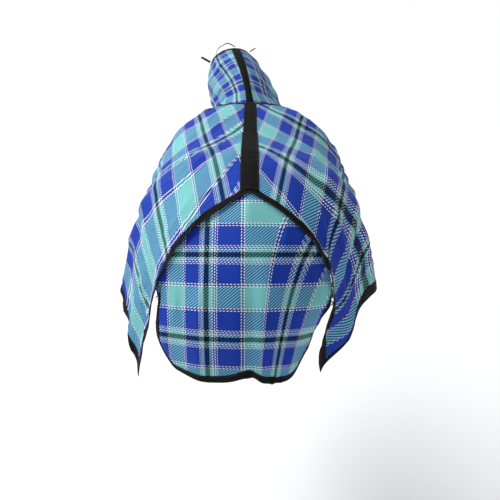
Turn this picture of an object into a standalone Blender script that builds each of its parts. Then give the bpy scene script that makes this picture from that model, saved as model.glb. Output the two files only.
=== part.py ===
"""Fly sheet for a horse: a mesh sheet with a neck cover, a tail flap, straps and their fastenings.

Frame: the origin is at the top of the withers, +Y runs towards the horse's head, +X is the horse's
right side and +Z is up.  Cloth is drawn in its worn shape, as it hangs on a horse.
"""
import math

import bmesh
import bpy
import numpy as np
from mathutils import Vector

# Driving dimensions, metres
BODY_HALF_GIRTH = 0.93        # spine to hem, along the cloth
JUNCTION_GIRTH = 0.49         # spine to the point where the tail flap leaves the side panel
NECK_GIRTH = 0.55             # spine to the bottom of the neck opening, along its edge
RUMP_Y = -1.015               # rear edge of the sheet on the spine
RUMP_DROP_BACK = 0.14         # how far the rear edge runs back between spine and junction
CHEST_Y = 0.02                # where the shoulder starts to close in towards the chest
CHEST_RUN = 0.52              # length of that closing curve
NECK_START_Y = 0.03           # front edge of the sheet on the spine
FRONT_OPEN = 0.0035           # the chest edges stop this far short of the tip of the curve

SPINE_WIDTH = 0.072
SPINE_STEP_Y = -0.42          # where the wide rear spine strip ends on the narrower front one
BINDING = 0.032
NECKLINE_BINDING = 0.040
CLOTH = 0.0025
TAPE = 0.0035
GAP = 0.0012                  # between cloth and the tape beside it

POLL_CENTRE = (-0.095, 0.71, 0.0675)
POLL_HALF_WIDTH = 0.118
POLL_HALF_HEIGHT = (0.0, -0.11, 0.1275)   # from the poll opening's centre to its crest
CREST_WIDTH = 0.042
NECK_PINCH = 0.22             # how much the cover is drawn in sideways just after the seam
NECK_LEAN = 0.018             # shift of the cover's middle to the horse's left

FLAP_SEAM = 0.42              # part of the flap's length that stays put below the spine
FLAP_SEAM_GAP = 0.008         # gap on the lifting line, as a part of the flap's length
FLAP_HALF_SPAN = 0.42         # half of the flap's width, measured over its curve
FLAP_DROP = 0.62              # length of the flap, measured down its middle
FLAP_LEFT_X = 0.362
FLAP_RIGHT_X = 0.25
FLAP_BACK_Y = -1.34
FLAP_SIDE_Y = -1.14
FLAP_HEM_Z = -0.735

WEBBING = 0.025
WEBBING_T = 0.0022
WIRE_R = 0.0018
HOOK_R = 0.0105
HOOK_WIRE = 0.0024
BARREL_R = 0.0048

BODY_CENTRE = np.array([0.0, -0.35, -0.55])
UP = np.array([0.0, 0.0, 1.0])


# ---------------------------------------------------------------- scene and materials

def clear_scene():
    for obj in list(bpy.data.objects):
        bpy.data.objects.remove(obj, do_unlink=True)


def material(name, colour, roughness, metallic=0.0):
    mat = bpy.data.materials.new(name)
    mat.use_nodes = True
    shader = mat.node_tree.nodes["Principled BSDF"]
    shader.inputs["Base Color"].default_value = (*colour, 1.0)
    shader.inputs["Roughness"].default_value = roughness
    shader.inputs["Metallic"].default_value = metallic
    return mat


def make_materials():
    return {
        "mesh": material("plaid_mesh", (0.16, 0.36, 0.62), 0.75),
        "neck_mesh": material("plaid_mesh_neck", (0.18, 0.40, 0.62), 0.75),
        "tape": material("binding_tape", (0.025, 0.024, 0.026), 0.6),
        "web": material("strap_webbing", (0.02, 0.02, 0.022), 0.55),
        "spine": material("spine_webbing", (0.075, 0.072, 0.075), 0.65),
        "fleece": material("fleece", (0.06, 0.06, 0.065), 0.95),
        "steel": material("plated_steel", (0.72, 0.72, 0.74), 0.25, 1.0),
        "plastic": material("black_plastic", (0.02, 0.02, 0.02), 0.4),
    }


# ---------------------------------------------------------------- building blocks

def smooth(low, high, value):
    """0 up to low, 1 from high on, and an S curve between them."""
    t = np.clip((value - low) / (high - low), 0, 1)
    return t * t * (3 - 2 * t)


def unit(v):
    v = np.asarray(v, float)
    return v / np.linalg.norm(v, axis=-1, keepdims=True)


def mesh_object(name, verts, faces, mat, origin=(0, 0, 0)):
    """One closed mesh as a named object whose origin is where its joint is."""
    origin = np.asarray(origin, float)
    mesh = bpy.data.meshes.new(name)
    mesh.from_pydata((np.asarray(verts) - origin).tolist(), [], faces)
    bm = bmesh.new()
    bm.from_mesh(mesh)
    bmesh.ops.recalc_face_normals(bm, faces=bm.faces)
    if bm.calc_volume(signed=True) < 0:
        bmesh.ops.reverse_faces(bm, faces=bm.faces)
    bm.to_mesh(mesh)
    bm.free()
    mesh.materials.append(mat)
    obj = bpy.data.objects.new(name, mesh)
    obj.location = origin
    bpy.context.collection.objects.link(obj)
    return obj


def grid_normals(grid, centre):
    """Unit normals of a grid of points, turned away from the centre."""
    along = np.gradient(grid, axis=0)
    across = np.gradient(grid, axis=1)
    normals = unit(np.cross(along, across))
    if (normals * (grid - centre)).sum() < 0:
        normals = -normals
    return normals


def slab_mesh(outer, inner):
    """Vertices and faces of the closed slab between two grids of the same size."""
    rows, cols = outer.shape[:2]
    verts = np.concatenate([outer.reshape(-1, 3), inner.reshape(-1, 3)])
    low = rows * cols

    def at(i, j):
        return i * cols + j

    faces = []
    for i in range(rows - 1):
        for j in range(cols - 1):
            a, b, c, d = at(i, j), at(i + 1, j), at(i + 1, j + 1), at(i, j + 1)
            faces.append((a, b, c, d))
            faces.append((low + d, low + c, low + b, low + a))
    rim = [at(i, 0) for i in range(rows)]
    rim += [at(rows - 1, j) for j in range(1, cols)]
    rim += [at(i, cols - 1) for i in range(rows - 2, -1, -1)]
    rim += [at(0, j) for j in range(cols - 2, 0, -1)]
    for a, b in zip(rim, rim[1:] + rim[:1]):
        faces.append((b, a, low + a, low + b))
    return verts, faces


def cloth(name, grid, mat, thickness=CLOTH, inset=0.0, centre=BODY_CENTRE, origin=(0, 0, 0)):
    """A closed sheet whose outer face is the grid moved inwards by the inset."""
    normals = grid_normals(grid, centre)
    outer = grid - normals * inset
    return mesh_object(name, *slab_mesh(outer, outer - normals * thickness), mat, origin)


def band(name, path, side, width, mat, thickness=WEBBING_T, origin=(0, 0, 0)):
    """Flat webbing that follows a path, its width lying along the side direction."""
    path = np.asarray(path, float)
    tangent = unit(np.gradient(path, axis=0))
    side = np.broadcast_to(np.asarray(side, float), path.shape)
    side = unit(side - tangent * (side * tangent).sum(-1, keepdims=True))
    normal = np.cross(tangent, side)
    mid = np.stack([path - side * width / 2, path + side * width / 2], 1)
    push = normal[:, None] * thickness / 2
    return mesh_object(name, *slab_mesh(mid + push, mid - push), mat, origin)


def tube(name, path, radius, mat, sides=6, closed=False, origin=(0, 0, 0), flat=1.0):
    """Round wire along a path.  The radius may change along it; flat narrows one way."""
    path = np.asarray(path, float)
    count = len(path)
    radius = np.broadcast_to(np.asarray(radius, float), (count,))
    if closed:
        tangent = unit(np.roll(path, -1, 0) - np.roll(path, 1, 0))
    else:
        tangent = unit(np.gradient(path, axis=0))
    spread = path - path.mean(0)
    plane = np.linalg.svd(spread)[2][2]
    one = unit(plane - tangent * (tangent @ plane)[:, None])
    two = np.cross(tangent, one)
    angle = 2 * math.pi * np.arange(sides) / sides
    ring = (np.cos(angle)[None, :, None] * one[:, None] * flat + np.sin(angle)[None, :, None] * two[:, None])
    verts = (path[:, None] + ring * radius[:, None, None]).reshape(-1, 3)
    faces = []
    for i in range(count if closed else count - 1):
        k = (i + 1) % count
        for j in range(sides):
            m = (j + 1) % sides
            faces.append((i * sides + j, i * sides + m, k * sides + m, k * sides + j))
    if not closed:
        faces.append(tuple(range(sides))[::-1])
        faces.append(tuple((count - 1) * sides + j for j in range(sides)))
    return mesh_object(name, verts, faces, mat, origin)


def rounded_path(corners, radius, arc_steps=6):
    """A path of straight runs whose corners are rounded by quadratic curves of the given reach."""
    corners = [np.asarray(c, float) for c in corners]
    points = [corners[0]]
    for before, corner, after in zip(corners, corners[1:], corners[2:]):
        start = corner + unit(before - corner) * radius
        end = corner + unit(after - corner) * radius
        for t in np.linspace(0, 1, arc_steps):
            points.append((1 - t) ** 2 * start + 2 * t * (1 - t) * corner + t * t * end)
    points.append(corners[-1])
    return np.array(points)


def split_runs(path, longest):
    """The same path with extra points so that no run is longer than given."""
    out = [path[0]]
    for a, b in zip(path, path[1:]):
        pieces = max(1, int(math.ceil(np.linalg.norm(b - a) / longest)))
        for t in np.linspace(0, 1, pieces + 1)[1:]:
            out.append(a + (b - a) * t)
    return np.array(out)


def loop_frame(centre, one, two, half_one, half_two, round_steps=2, corner=0.003):
    """Points of a closed rectangle with rounded corners, for a wire buckle frame."""
    points = []
    for quarter in range(4):
        sign_one = (1, -1, -1, 1)[quarter]
        sign_two = (1, 1, -1, -1)[quarter]
        for step in range(round_steps + 1):
            angle = math.pi / 2 * (quarter + step / round_steps)
            p = np.asarray(centre) + one * (sign_one * (half_one - corner) + corner * math.cos(angle))
            points.append(p + two * (sign_two * (half_two - corner) + corner * math.sin(angle)))
    return np.array(points)


def slot_cut(obj, centre, size):
    """Cut a box-shaped slot in a strap."""
    mesh = bpy.data.meshes.new("slot_in_" + obj.name)
    bm = bmesh.new()
    bmesh.ops.create_cube(bm, size=1.0)
    bmesh.ops.scale(bm, vec=Vector(size), verts=bm.verts)
    bm.to_mesh(mesh)
    bm.free()
    cutter = bpy.data.objects.new("slot_in_" + obj.name, mesh)
    cutter.location = centre
    cutter.hide_render = True
    cutter.display_type = "WIRE"
    bpy.context.collection.objects.link(cutter)
    cut = obj.modifiers.new("slot", "BOOLEAN")
    cut.operation = "DIFFERENCE"
    cut.solver = "EXACT"
    cut.object = cutter


# ---------------------------------------------------------------- shape of the worn cloth

def spine_height(y):
    """Top line of the back: a dip behind the withers, the fall of the rump and of the chest."""
    dip = -0.040 * np.exp(-((y + 0.40) / 0.25) ** 2)
    loin = -0.02 * smooth(-0.3, -0.8, y)
    rump = -0.44 * np.clip(-0.72 - y, 0, None) ** 1.45
    return dip + loin + rump - 0.22 * np.clip(y - 0.02, 0, None) ** 1.2


def girth_curve(y, girth, side):
    """Sideways and downwards reach of the cloth after a girth distance from the spine.

    The cloth leaves the spine at a shallow angle, bends over the ribs and then hangs almost straight.
    """
    y, girth = np.broadcast_arrays(np.asarray(y, float), np.asarray(girth, float))
    left = side < 0
    rear = smooth(-0.74, -1.16, y)
    front = smooth(-0.15, 0.45, y)
    start = np.radians(4 + 10 * rear + 3 * front)
    hang = np.radians(76 + (0 if left else 4) * rear + 2 * front)
    bend = 0.76 - (0.19 if left else 0.24) * rear - 0.05 * front
    steps = 49
    t = np.linspace(0, 1, steps)
    weight = np.full(steps, 1.0)
    weight[[0, -1]] = 0.5
    weight /= steps - 1
    angle = start[..., None] + (hang - start)[..., None] * smooth(0, 1, girth[..., None] * t / bend[..., None])
    out = (np.cos(angle) * weight).sum(-1) * girth
    down = (np.sin(angle) * weight).sum(-1) * girth
    corner = smooth(-0.98, -1.15, y) * smooth(JUNCTION_GIRTH, BODY_HALF_GIRTH, girth)
    if not left:
        out = out - 0.115 * corner
        down = down - 0.035 * corner
    return out, down


def on_body(y, girth, side):
    """A point of the body's cloth.  The chest closes in as a rounded nose."""
    out, down = girth_curve(y, girth, side)
    u = np.clip((y - CHEST_Y) / CHEST_RUN, 0, 1)
    nose = (1 - u ** 2.6) ** (1 / 2.2)
    return np.stack([side * out * nose, np.broadcast_to(y, out.shape), spine_height(y) - down], -1)


def rear_edge(girth):
    """Y of the rear edge: an arch over the tail, then nearly straight down."""
    a = np.clip(girth / JUNCTION_GIRTH, 0, 1)
    drop_back = RUMP_DROP_BACK * (1 - (1 - a) ** 1.9)
    return RUMP_Y - drop_back + 0.03 * smooth(JUNCTION_GIRTH, BODY_HALF_GIRTH, girth)


def front_edge(girth):
    """Y of the front edge: the neck opening, then the chest's centre line."""
    a = np.clip(girth / NECK_GIRTH, 0, 1)
    return NECK_START_Y + (CHEST_Y + CHEST_RUN - FRONT_OPEN - NECK_START_Y) * a ** 1.3


def hem_girth(s, side):
    """Girth distance of the hem, where s runs from the rear corner (0) to the chest (1)."""
    if side < 0:
        return BODY_HALF_GIRTH + 0.05 * np.exp(-((s - 0.22) / 0.16) ** 2)
    return BODY_HALF_GIRTH - 0.005 - 0.07 * np.exp(-((s - 0.20) / 0.10) ** 2)


def panel_point(s, girth, side):
    """A point of a side panel, s from the rear edge (0) to the front edge (1)."""
    rear = rear_edge(girth)
    return on_body(rear + s * (front_edge(girth) - rear), girth, side)


def edge_shift(girth, width):
    """Part of the panel's length that a tape of the given width takes at its edges."""
    return width / (front_edge(girth) - rear_edge(girth))


def front_width(girth):
    """Length of the neckline tape measured along Y, wider where the edge runs at a slant."""
    return NECKLINE_BINDING * (1 + 0.25 * smooth(0, 0.3, girth)) * (1 - 0.82 * smooth(0.42, 0.55, girth))


def side_name(side):
    return "left" if side < 0 else "right"


# ---------------------------------------------------------------- body of the sheet

PANEL_ROWS = 19
NECK_ROWS = 10
LOWER_ROWS = 6


def panel_rows(count):
    """Rows from rear to front, closer together where the chest curves."""
    return 1 - (1 - np.linspace(0, 1, count)) ** 1.7


def girth_rows(s, side):
    """Girth distances down a panel at s: one row falls where the neck opening ends."""
    low = SPINE_WIDTH / 2 + GAP
    high = hem_girth(s, side) - BINDING - GAP
    neck = (NECK_GIRTH - low) / (BODY_HALF_GIRTH - BINDING - GAP - low)
    t = np.concatenate([np.linspace(0, neck, NECK_ROWS), np.linspace(neck, 1, LOWER_ROWS)[1:]])
    return low + t * (high - low)


def body_panel(side, mats):
    s = panel_rows(PANEL_ROWS)[:, None]
    girth = girth_rows(s, side)
    first = edge_shift(girth, BINDING + GAP)
    last = 1 - edge_shift(girth, front_width(girth) + 3 * GAP)
    grid = panel_point(first + s * (last - first), girth, side)
    cloth(side_name(side) + "_body_panel", grid, mats["mesh"])


def rump_binding(side, mats):
    """Tape over the arch where the tail flap is sewn on, from the spine to the junction."""
    girth = np.linspace(GAP, JUNCTION_GIRTH, 15)[:, None]
    s = np.array([[0, 1]]) * edge_shift(girth, BINDING)
    cloth(side_name(side) + "_rump_binding", panel_point(s, girth, side), mats["tape"], TAPE)


def edge_binding(side, mats):
    """One tape down the rear edge, along the hem and up the chest edge, with mitred corners."""
    rear_steps = 7
    start = JUNCTION_GIRTH + GAP
    hem_s = panel_rows(PANEL_ROWS)
    rear_out = np.linspace(start, hem_girth(0.0, side), rear_steps)
    rear_in = np.linspace(start, hem_girth(0.0, side) - BINDING, rear_steps)
    front_in = girth_rows(1.0, side)[:NECK_ROWS - 2:-1].copy()
    front_in[0] += GAP
    front_in[-1] += GAP
    front_out = np.interp(front_in, front_in[::-1][[0, -1]], [front_in[-1], hem_girth(1.0, side)])
    outer_s = np.concatenate([np.zeros(rear_steps - 1), hem_s, np.ones(len(front_in) - 1)])
    outer_g = np.concatenate([rear_out[:-1], hem_girth(hem_s, side), front_out[1:]])
    inner_g = np.concatenate([rear_in[:-1], hem_girth(hem_s, side) - BINDING, front_in[1:]])
    first = edge_shift(inner_g, BINDING)
    last = 1 - edge_shift(inner_g, front_width(inner_g))
    inner_s = first + outer_s * (last - first)
    grid = np.stack([panel_point(outer_s, outer_g, side), panel_point(inner_s, inner_g, side)], 1)
    cloth(side_name(side) + "_edge_binding", grid, mats["tape"], TAPE)


def neckline_binding(side, mats):
    girth = girth_rows(1.0, side)[:NECK_ROWS, None].copy()
    girth[-1] -= GAP
    s = 1 - np.array([[0, 1]]) * edge_shift(girth, front_width(girth))
    cloth(side_name(side) + "_neckline_binding", panel_point(s, girth, side), mats["tape"], TAPE)


def across_spine(y, half_width, steps=4):
    """A grid across the spine, for each y from one side to the other."""
    offset = np.linspace(-1, 1, steps + 1)[None, :] * half_width
    y = np.asarray(y, float)[:, None]
    left = on_body(y, np.abs(offset), -1)
    right = on_body(y, np.abs(offset), 1)
    return np.where((offset < 0)[..., None], left, right)


def spine_strips(mats):
    rear_end = RUMP_Y + BINDING + 2 * GAP
    rear = across_spine(np.linspace(rear_end, SPINE_STEP_Y - GAP, 13), SPINE_WIDTH / 2)
    cloth("spine_strip_rear", rear, mats["spine"], TAPE)
    front = across_spine(np.linspace(SPINE_STEP_Y, NECK_START_Y, 11), SPINE_WIDTH / 2 - 0.004)
    cloth("spine_strip_front", front, mats["spine"], TAPE)


def withers_pad(mats):
    grid = across_spine(np.linspace(-0.30, -0.02, 8), 0.085, steps=6)
    cloth("withers_fleece_pad", grid, mats["fleece"], 0.006, inset=0.009)


# ---------------------------------------------------------------- tail flap

def arch_point(u):
    girth = np.abs(u) * JUNCTION_GIRTH
    left = on_body(rear_edge(girth) + 0.006, girth, -1)
    right = on_body(rear_edge(girth) + 0.006, girth, 1)
    return np.where((u < 0)[..., None], left, right)


def flap_point(u, v):
    """A point of the tail flap, u across from left (-1) to right (1) and v from the arch down."""
    u, v = np.broadcast_arrays(np.asarray(u, float), np.asarray(v, float))
    reach = np.abs(u)
    top = arch_point(u) * np.array([0.965, 1, 1]) - np.array([0, 0, 0.009])
    crown = np.clip(1 - reach ** 2.1, 0, 1) ** 0.75
    half = np.where(u < 0, FLAP_LEFT_X, FLAP_RIGHT_X)
    corner = np.where(u < 0, 0.085 * smooth(0.74, 1.0, reach), 0.12 * smooth(0.55, 1.0, reach) ** 1.5)
    lift = corner + 0.03 * np.exp(-(u / 0.16) ** 2)
    back = FLAP_SIDE_Y + (FLAP_BACK_Y - FLAP_SIDE_Y) * crown
    hem = np.stack([half * np.sign(u) * reach ** 0.85, back, FLAP_HEM_Z + lift], -1)
    drop = np.linalg.norm(hem - top, axis=-1)[..., None]
    angle = np.radians(24 + 58 * reach ** 1.2)
    leave = np.stack([0.10 * u, -np.cos(angle), -np.sin(angle)], -1) * 1.15 * drop
    arrive = np.stack([-0.10 * u, 0.10 + 0 * u, -1 + 0 * u], -1) * drop
    v = v[..., None]
    return ((2 * v ** 3 - 3 * v ** 2 + 1) * top + (v ** 3 - 2 * v ** 2 + v) * leave
            + (3 * v ** 2 - 2 * v ** 3) * hem + (v ** 3 - v ** 2) * arrive)


def flap_hinge():
    """Point on the line about which the lower part of the flap lifts."""
    return flap_point(np.array(0.0), np.array(FLAP_SEAM))


def tail_flap(mats):
    tail_centre = np.array([0.0, -0.9, -0.6])
    u = np.linspace(-1, 1, 19)[:, None]
    upper = flap_point(u * 0.995, np.linspace(0, FLAP_SEAM - FLAP_SEAM_GAP, 6)[None, :])
    cloth("tail_flap_upper", upper, mats["mesh"], centre=tail_centre)
    hinge = flap_hinge()
    edge_u = 1 - BINDING / FLAP_HALF_SPAN
    edge_v = 1 - BINDING / FLAP_DROP
    low_v = np.linspace(FLAP_SEAM, edge_v, 8)[None, :]
    cloth("tail_flap_skirt", flap_point(u * edge_u, low_v), mats["mesh"], centre=tail_centre, origin=hinge)
    rise = low_v[0]
    across = np.linspace(-1, 1, 19)[1:-1]
    side_ones = np.ones(len(rise))
    inner_v = rise + np.linspace(0.012, 0.010, len(rise))
    outer_v = np.linspace(inner_v[0], 1, len(rise))
    out_u = np.concatenate([-side_ones, across, side_ones])
    out_v = np.concatenate([outer_v, np.ones(len(across)), outer_v[::-1]])
    in_v = np.concatenate([inner_v, np.full(len(across), inner_v[-1]), inner_v[::-1]])
    grid = np.stack([flap_point(out_u, out_v), flap_point(out_u * (edge_u + 0.010), in_v)], 1)
    cloth("tail_flap_binding", grid, mats["tape"], TAPE, centre=tail_centre, origin=hinge)


# ---------------------------------------------------------------- neck cover

def neck_point(s, a):
    """A point of the neck cover, s from the base (0) to the poll (1), a round it.

    a is 0 on the crest and -1 or 1 at the throat.  The base follows the neck opening a little
    inside it, so that the cover can turn into the body's hollow.
    """
    s, a = np.broadcast_arrays(np.asarray(s, float), np.asarray(a, float))
    reach = np.abs(a)
    girth = reach * (NECK_GIRTH - 0.01)
    edge = on_body(front_edge(girth), girth, 1)
    x_base = np.sign(a) * edge[..., 0] * (0.935 - 0.50 * smooth(0.55, 1.0, reach))
    base = np.stack([x_base, edge[..., 1] + 0.008 - 0.036 * reach ** 3, edge[..., 2] - 0.012], -1)
    turn = math.pi * a
    poll = np.asarray(POLL_CENTRE) + np.cos(turn)[..., None] * np.asarray(POLL_HALF_HEIGHT)
    round_x = np.sign(np.sin(turn)) * np.abs(np.sin(turn)) ** 0.9
    cheek = 1 + 0.30 * np.clip(-np.sin(turn), 0, 1) * smooth(0.45, 0.9, s)
    poll = poll + np.stack([POLL_HALF_WIDTH * round_x * cheek, 0 * s, 0 * s], -1)
    w = s[..., None]
    wide = w ** 1.5
    out = base + (poll - base) * np.concatenate([wide, w, w], -1)
    swell = np.sin(math.pi * s)
    crest = 0.06 * swell * np.clip(np.cos(turn), 0, 1) ** 2
    pinch = 1 - NECK_PINCH * smooth(0, 0.16, s) * (1 - smooth(0.16, 0.7, s))
    out = out * np.stack([pinch, 1 + 0 * s, 1 + 0 * s], -1)
    return out + np.stack([0.012 * swell * round_x - NECK_LEAN * swell, -0.3 * crest, crest], -1)


NECK_CENTRE = np.array([-0.05, 0.48, -0.10])
NECK_PIVOT = np.array([0.0, NECK_START_Y, -0.012])


def crest_reach(s):
    """Half the crest strip's width as a part of the way round, at s."""
    return CREST_WIDTH / 2 / (0.55 - 0.17 * s)


def neck_cover(mats):
    s = np.linspace(0, 1, 10)[:, None]
    t = np.linspace(0, 1, 12)[None, :]
    poll_s = 1 - 0.045
    for side in (-1, 1):
        low = crest_reach(s) + 0.003
        high = 0.92
        grid = neck_point(s * (poll_s - 0.003), side * (low + t * (high - low)))
        cloth(side_name(side) + "_neck_panel", grid, mats["neck_mesh"], centre=NECK_CENTRE, origin=NECK_PIVOT)
        throat = neck_point(s * (poll_s - 0.003), side * np.array([[0.923, 0.972]]))
        cloth(side_name(side) + "_throat_binding", throat, mats["tape"], TAPE,
              centre=NECK_CENTRE, origin=NECK_PIVOT)
    strip = neck_point(s * (poll_s - 0.003), np.linspace(-1, 1, 5)[None, :] * crest_reach(s))
    cloth("crest_strip", strip, mats["spine"], TAPE, centre=NECK_CENTRE, origin=NECK_PIVOT)
    round_poll = np.linspace(-0.972, 0.972, 25)[:, None]
    poll = neck_point(np.array([[poll_s, 1.0]]), round_poll)
    cloth("poll_binding", poll, mats["tape"], TAPE, centre=NECK_CENTRE, origin=NECK_PIVOT)


def throat_straps(mats):
    """Hook and loop straps that close the throat of the neck cover."""
    for number, place in enumerate((0.22, 0.52, 0.84), start=1):
        a = np.concatenate([np.linspace(0.86, 1, 5), -np.linspace(1, 0.86, 5)[1:]])
        rows = np.array([place - 0.035, place + 0.035])
        grid = neck_point(rows[None, :], a[:, None])
        normals = grid_normals(grid, NECK_CENTRE)
        cloth("throat_strap_%d" % number, grid + normals * 0.0095, mats["web"], TAPE,
              centre=NECK_CENTRE, origin=NECK_PIVOT)


def flat_tab(name, start, along, across, length, width, mats):
    """A straight flat tab: a box with its length from the start point."""
    along = unit(along)
    across = np.asarray(across, float)
    across = unit(across - along * (along @ across))
    start = np.asarray(start, float)
    path = np.stack([start, start + along * length])
    band(name, path, across, width, mats["web"], 0.003, origin=NECK_PIVOT)


def poll_fittings(mats):
    left = neck_point(np.array(0.985), np.array(-0.42))
    flat_tab("left_mask_tab", left + np.array([-0.008, 0.004, 0.006]), (-0.55, 0.1, 0.28), (0.1, 1, 0.2),
             0.062, 0.028, mats)
    right = neck_point(np.array(0.985), np.array(0.22))
    flat_tab("right_mask_tab", right + np.array([0.008, 0.004, 0.008]), (0.62, 0.1, 0.35), (0.1, 1, 0.1),
             0.040, 0.024, mats)
    crest = neck_point(np.array(0.995), np.array(0.0)) + np.array([0.0, 0.012, 0.008])
    path = rounded_path([crest, crest + np.array([-0.045, 0.012, 0.022]), crest + np.array([-0.105, 0.02, -0.012]),
                         crest + np.array([-0.118, 0.016, -0.052])], 0.02, 4)
    band("poll_loop_strap", path, (0, 1, 0.1), 0.018, mats["web"], 0.0025, origin=NECK_PIVOT)


# ---------------------------------------------------------------- chest closure

def chest_line(x, z_row, proud):
    """Points just in front of the chest at a height, for x positions."""
    x = np.asarray(x, float)
    half = 0.50
    y = CHEST_Y + CHEST_RUN * (1 - (np.abs(x) / half) ** 2.2) ** (1 / 2.6)
    return np.stack([x, y + proud, np.full(x.shape, z_row)], -1)


CHEST_ROWS = {"upper": -0.50, "lower": -0.63}
BAR_X = 0.016
STEP_BEHIND = 0.0056
STEP_FRONT = 0.0162
FRAME_PROUD = 0.0096
TONGUE_R = 0.0012
TONGUE_SLOT = 0.0056          # height of the slots that the tongue passes through


def chest_strap(name, z, mats):
    """The long strap from the right panel: behind the frame's far bar, then over the near one."""
    x = np.array([0.15, 0.11, 0.07, 0.04, 0.019, -0.013, -0.022, -0.05, -0.08, -0.10])
    proud = np.array([STEP_BEHIND] * 5 + [STEP_FRONT] * 5)
    strap = band("chest_%s_strap" % name, chest_line(x, z, proud), (0, 0, 1), WEBBING, mats["web"])
    slot_cut(strap, chest_line(np.array(-0.0005), z, FRAME_PROUD), (0.026, 0.03, TONGUE_SLOT))


def chest_buckle(name, z, mats):
    """Wire frame, its webbing tab from the left panel, and the tongue on the frame's near bar."""
    one = np.array([1.0, 0, 0])
    centre = chest_line(np.array(0.0), z, FRAME_PROUD)
    tube("chest_%s_buckle" % name, loop_frame(centre, one, UP, BAR_X, 0.0175), WIRE_R, mats["steel"], closed=True)
    bar = centre - one * BAR_X
    wrap = WIRE_R + 0.0004 + WEBBING_T / 2
    back = -np.array([0, wrap, 0])
    front = np.array([0, wrap, 0])
    end = bar - one * 0.075
    turn = [bar + np.array([wrap * math.sin(t), wrap * math.cos(t), 0]) for t in np.linspace(0, math.pi, 7)]
    path = np.array([bar + front * 0.55 - one * 0.028, bar + front - one * 0.010] + turn
                    + [bar + back - one * 0.012, end + back * 1.9])
    tab = band("chest_%s_buckle_tab" % name, path, (0, 0, 1), WEBBING, mats["web"])
    slot_cut(tab, bar + np.array([0.004, 0, 0]), (0.012, 0.012, TONGUE_SLOT))
    tip = centre + one * (BAR_X + 0.0035) + np.array([0, WIRE_R + 0.0016, 0])
    root = bar + one * (WIRE_R + 0.0016)
    path = np.stack([root, root + (tip - root) * 0.5 + np.array([0, 0.0004, 0]), tip])
    tube("chest_%s_tongue" % name, path, TONGUE_R, mats["steel"], sides=8, origin=bar)


# ---------------------------------------------------------------- belly surcingles

BELLY_ROWS = {"front": -0.02, "rear": -0.34}
BELLY_END_GIRTH = 0.80
BELLY_LOW_Z = -0.86
BELLY_FLAT_X = 0.22
HOOK_X = -0.10


def belly_end(y, side):
    """Sewn end of a belly strap, inside the panel."""
    p = on_body(np.array(y), np.array(BELLY_END_GIRTH), side)
    return p + np.array([-side * 0.016, 0, -0.004])


def belly_strap(name, y, mats):
    """Two straps that meet under the belly in a flat hook and a slotted keeper."""
    dy = 0.04
    for side in (-1, 1):
        end = belly_end(y + side * dy, side)
        corner = np.array([side * (BELLY_FLAT_X + 0.10), y, BELLY_LOW_Z])
        stop = np.array([HOOK_X + (-0.029 if side < 0 else 0.033), y, BELLY_LOW_Z])
        first = end + unit(np.array([-0.25 * side, 0, 1.0])) * 0.05
        path = rounded_path([first, end + np.array([0, 0, -0.03]), corner, stop], 0.045)
        band("belly_%s_%s_strap" % (name, side_name(side)), split_runs(path, 0.09), (0, 1, 0), 0.038, mats["web"],
             WEBBING_T)
    centre = np.array([HOOK_X, y, BELLY_LOW_Z])
    one = np.array([1.0, 0, 0])
    keeper = loop_frame(centre + one * 0.015, one, np.array([0, 1.0, 0]), 0.011, 0.022)
    tube("belly_%s_keeper" % name, keeper, 0.0019, mats["steel"], closed=True)
    hook = np.array([[-0.021, 0, 0.0], [-0.004, 0, 0.0], [0.002, 0, 0.0035], [0.009, 0, 0.0052], [0.0135, 0, 0.002],
                     [0.0145, 0, -0.003], [0.011, 0, -0.006], [0.002, 0, -0.0062]])
    band("belly_%s_hook" % name, centre + hook - np.array([0.002, 0, 0]), (0, 1, 0), 0.026, mats["steel"], 0.0018)
    slide = np.array([0.10, y, BELLY_LOW_Z])
    flat = loop_frame(slide, np.array([0, 1.0, 0]), UP, 0.0225, 0.0046, 1, 0.002)
    tube("belly_%s_slide" % name, flat, 0.0018, mats["steel"], closed=True, origin=slide)


# ---------------------------------------------------------------- leg straps

RING_GIRTH = 0.545
RING_INSET_X = 0.022
RING_FORWARD = 0.062
RING_HALF = 0.0145
RING_DROP = 0.022
STRAP_RUN = 0.11


def ring_bar(side):
    """Centre of a leg ring's straight bar, inside the rear edge below the junction."""
    p = panel_point(edge_shift(np.array(RING_GIRTH), RING_FORWARD), np.array(RING_GIRTH), side)
    return p + np.array([-side * RING_INSET_X, 0, -0.02])


def strap_direction(side):
    """The way the leg strap leaves its snap: down and in between the legs."""
    return unit(np.array([-side * 0.62, 0.0, -0.78]))


def hook_centre(side):
    return ring_bar(side) - UP * RING_DROP


def leg_ring(side, mats):
    bar = ring_bar(side)
    name = side_name(side)
    along = np.array([0, 1.0, 0])
    points = [bar + along * RING_HALF, bar, bar - along * RING_HALF]
    for t in np.linspace(0, math.pi, 9)[1:-1]:
        sway = math.copysign(abs(math.cos(t)) ** 0.6, math.cos(t))
        points.append(bar - along * RING_HALF * sway - UP * RING_DROP * math.sin(t) ** 0.6)
    tube(name + "_leg_ring", points, WIRE_R, mats["steel"], closed=True, origin=bar)
    wrap = WIRE_R + 0.0005 + WEBBING_T / 2
    out = np.array([side * 1.0, 0, 0])
    turn = [bar + out * wrap * math.cos(t) - UP * wrap * math.sin(t) for t in np.linspace(0, math.pi, 7)]
    path = np.array([bar + out * (wrap + 0.002) + UP * 0.045, bar + out * wrap + UP * 0.006] + turn
                    + [bar - out * wrap + UP * 0.006, bar - out * wrap + UP * 0.030])
    band(name + "_leg_ring_tab", path, along, 0.020, mats["web"])


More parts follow.
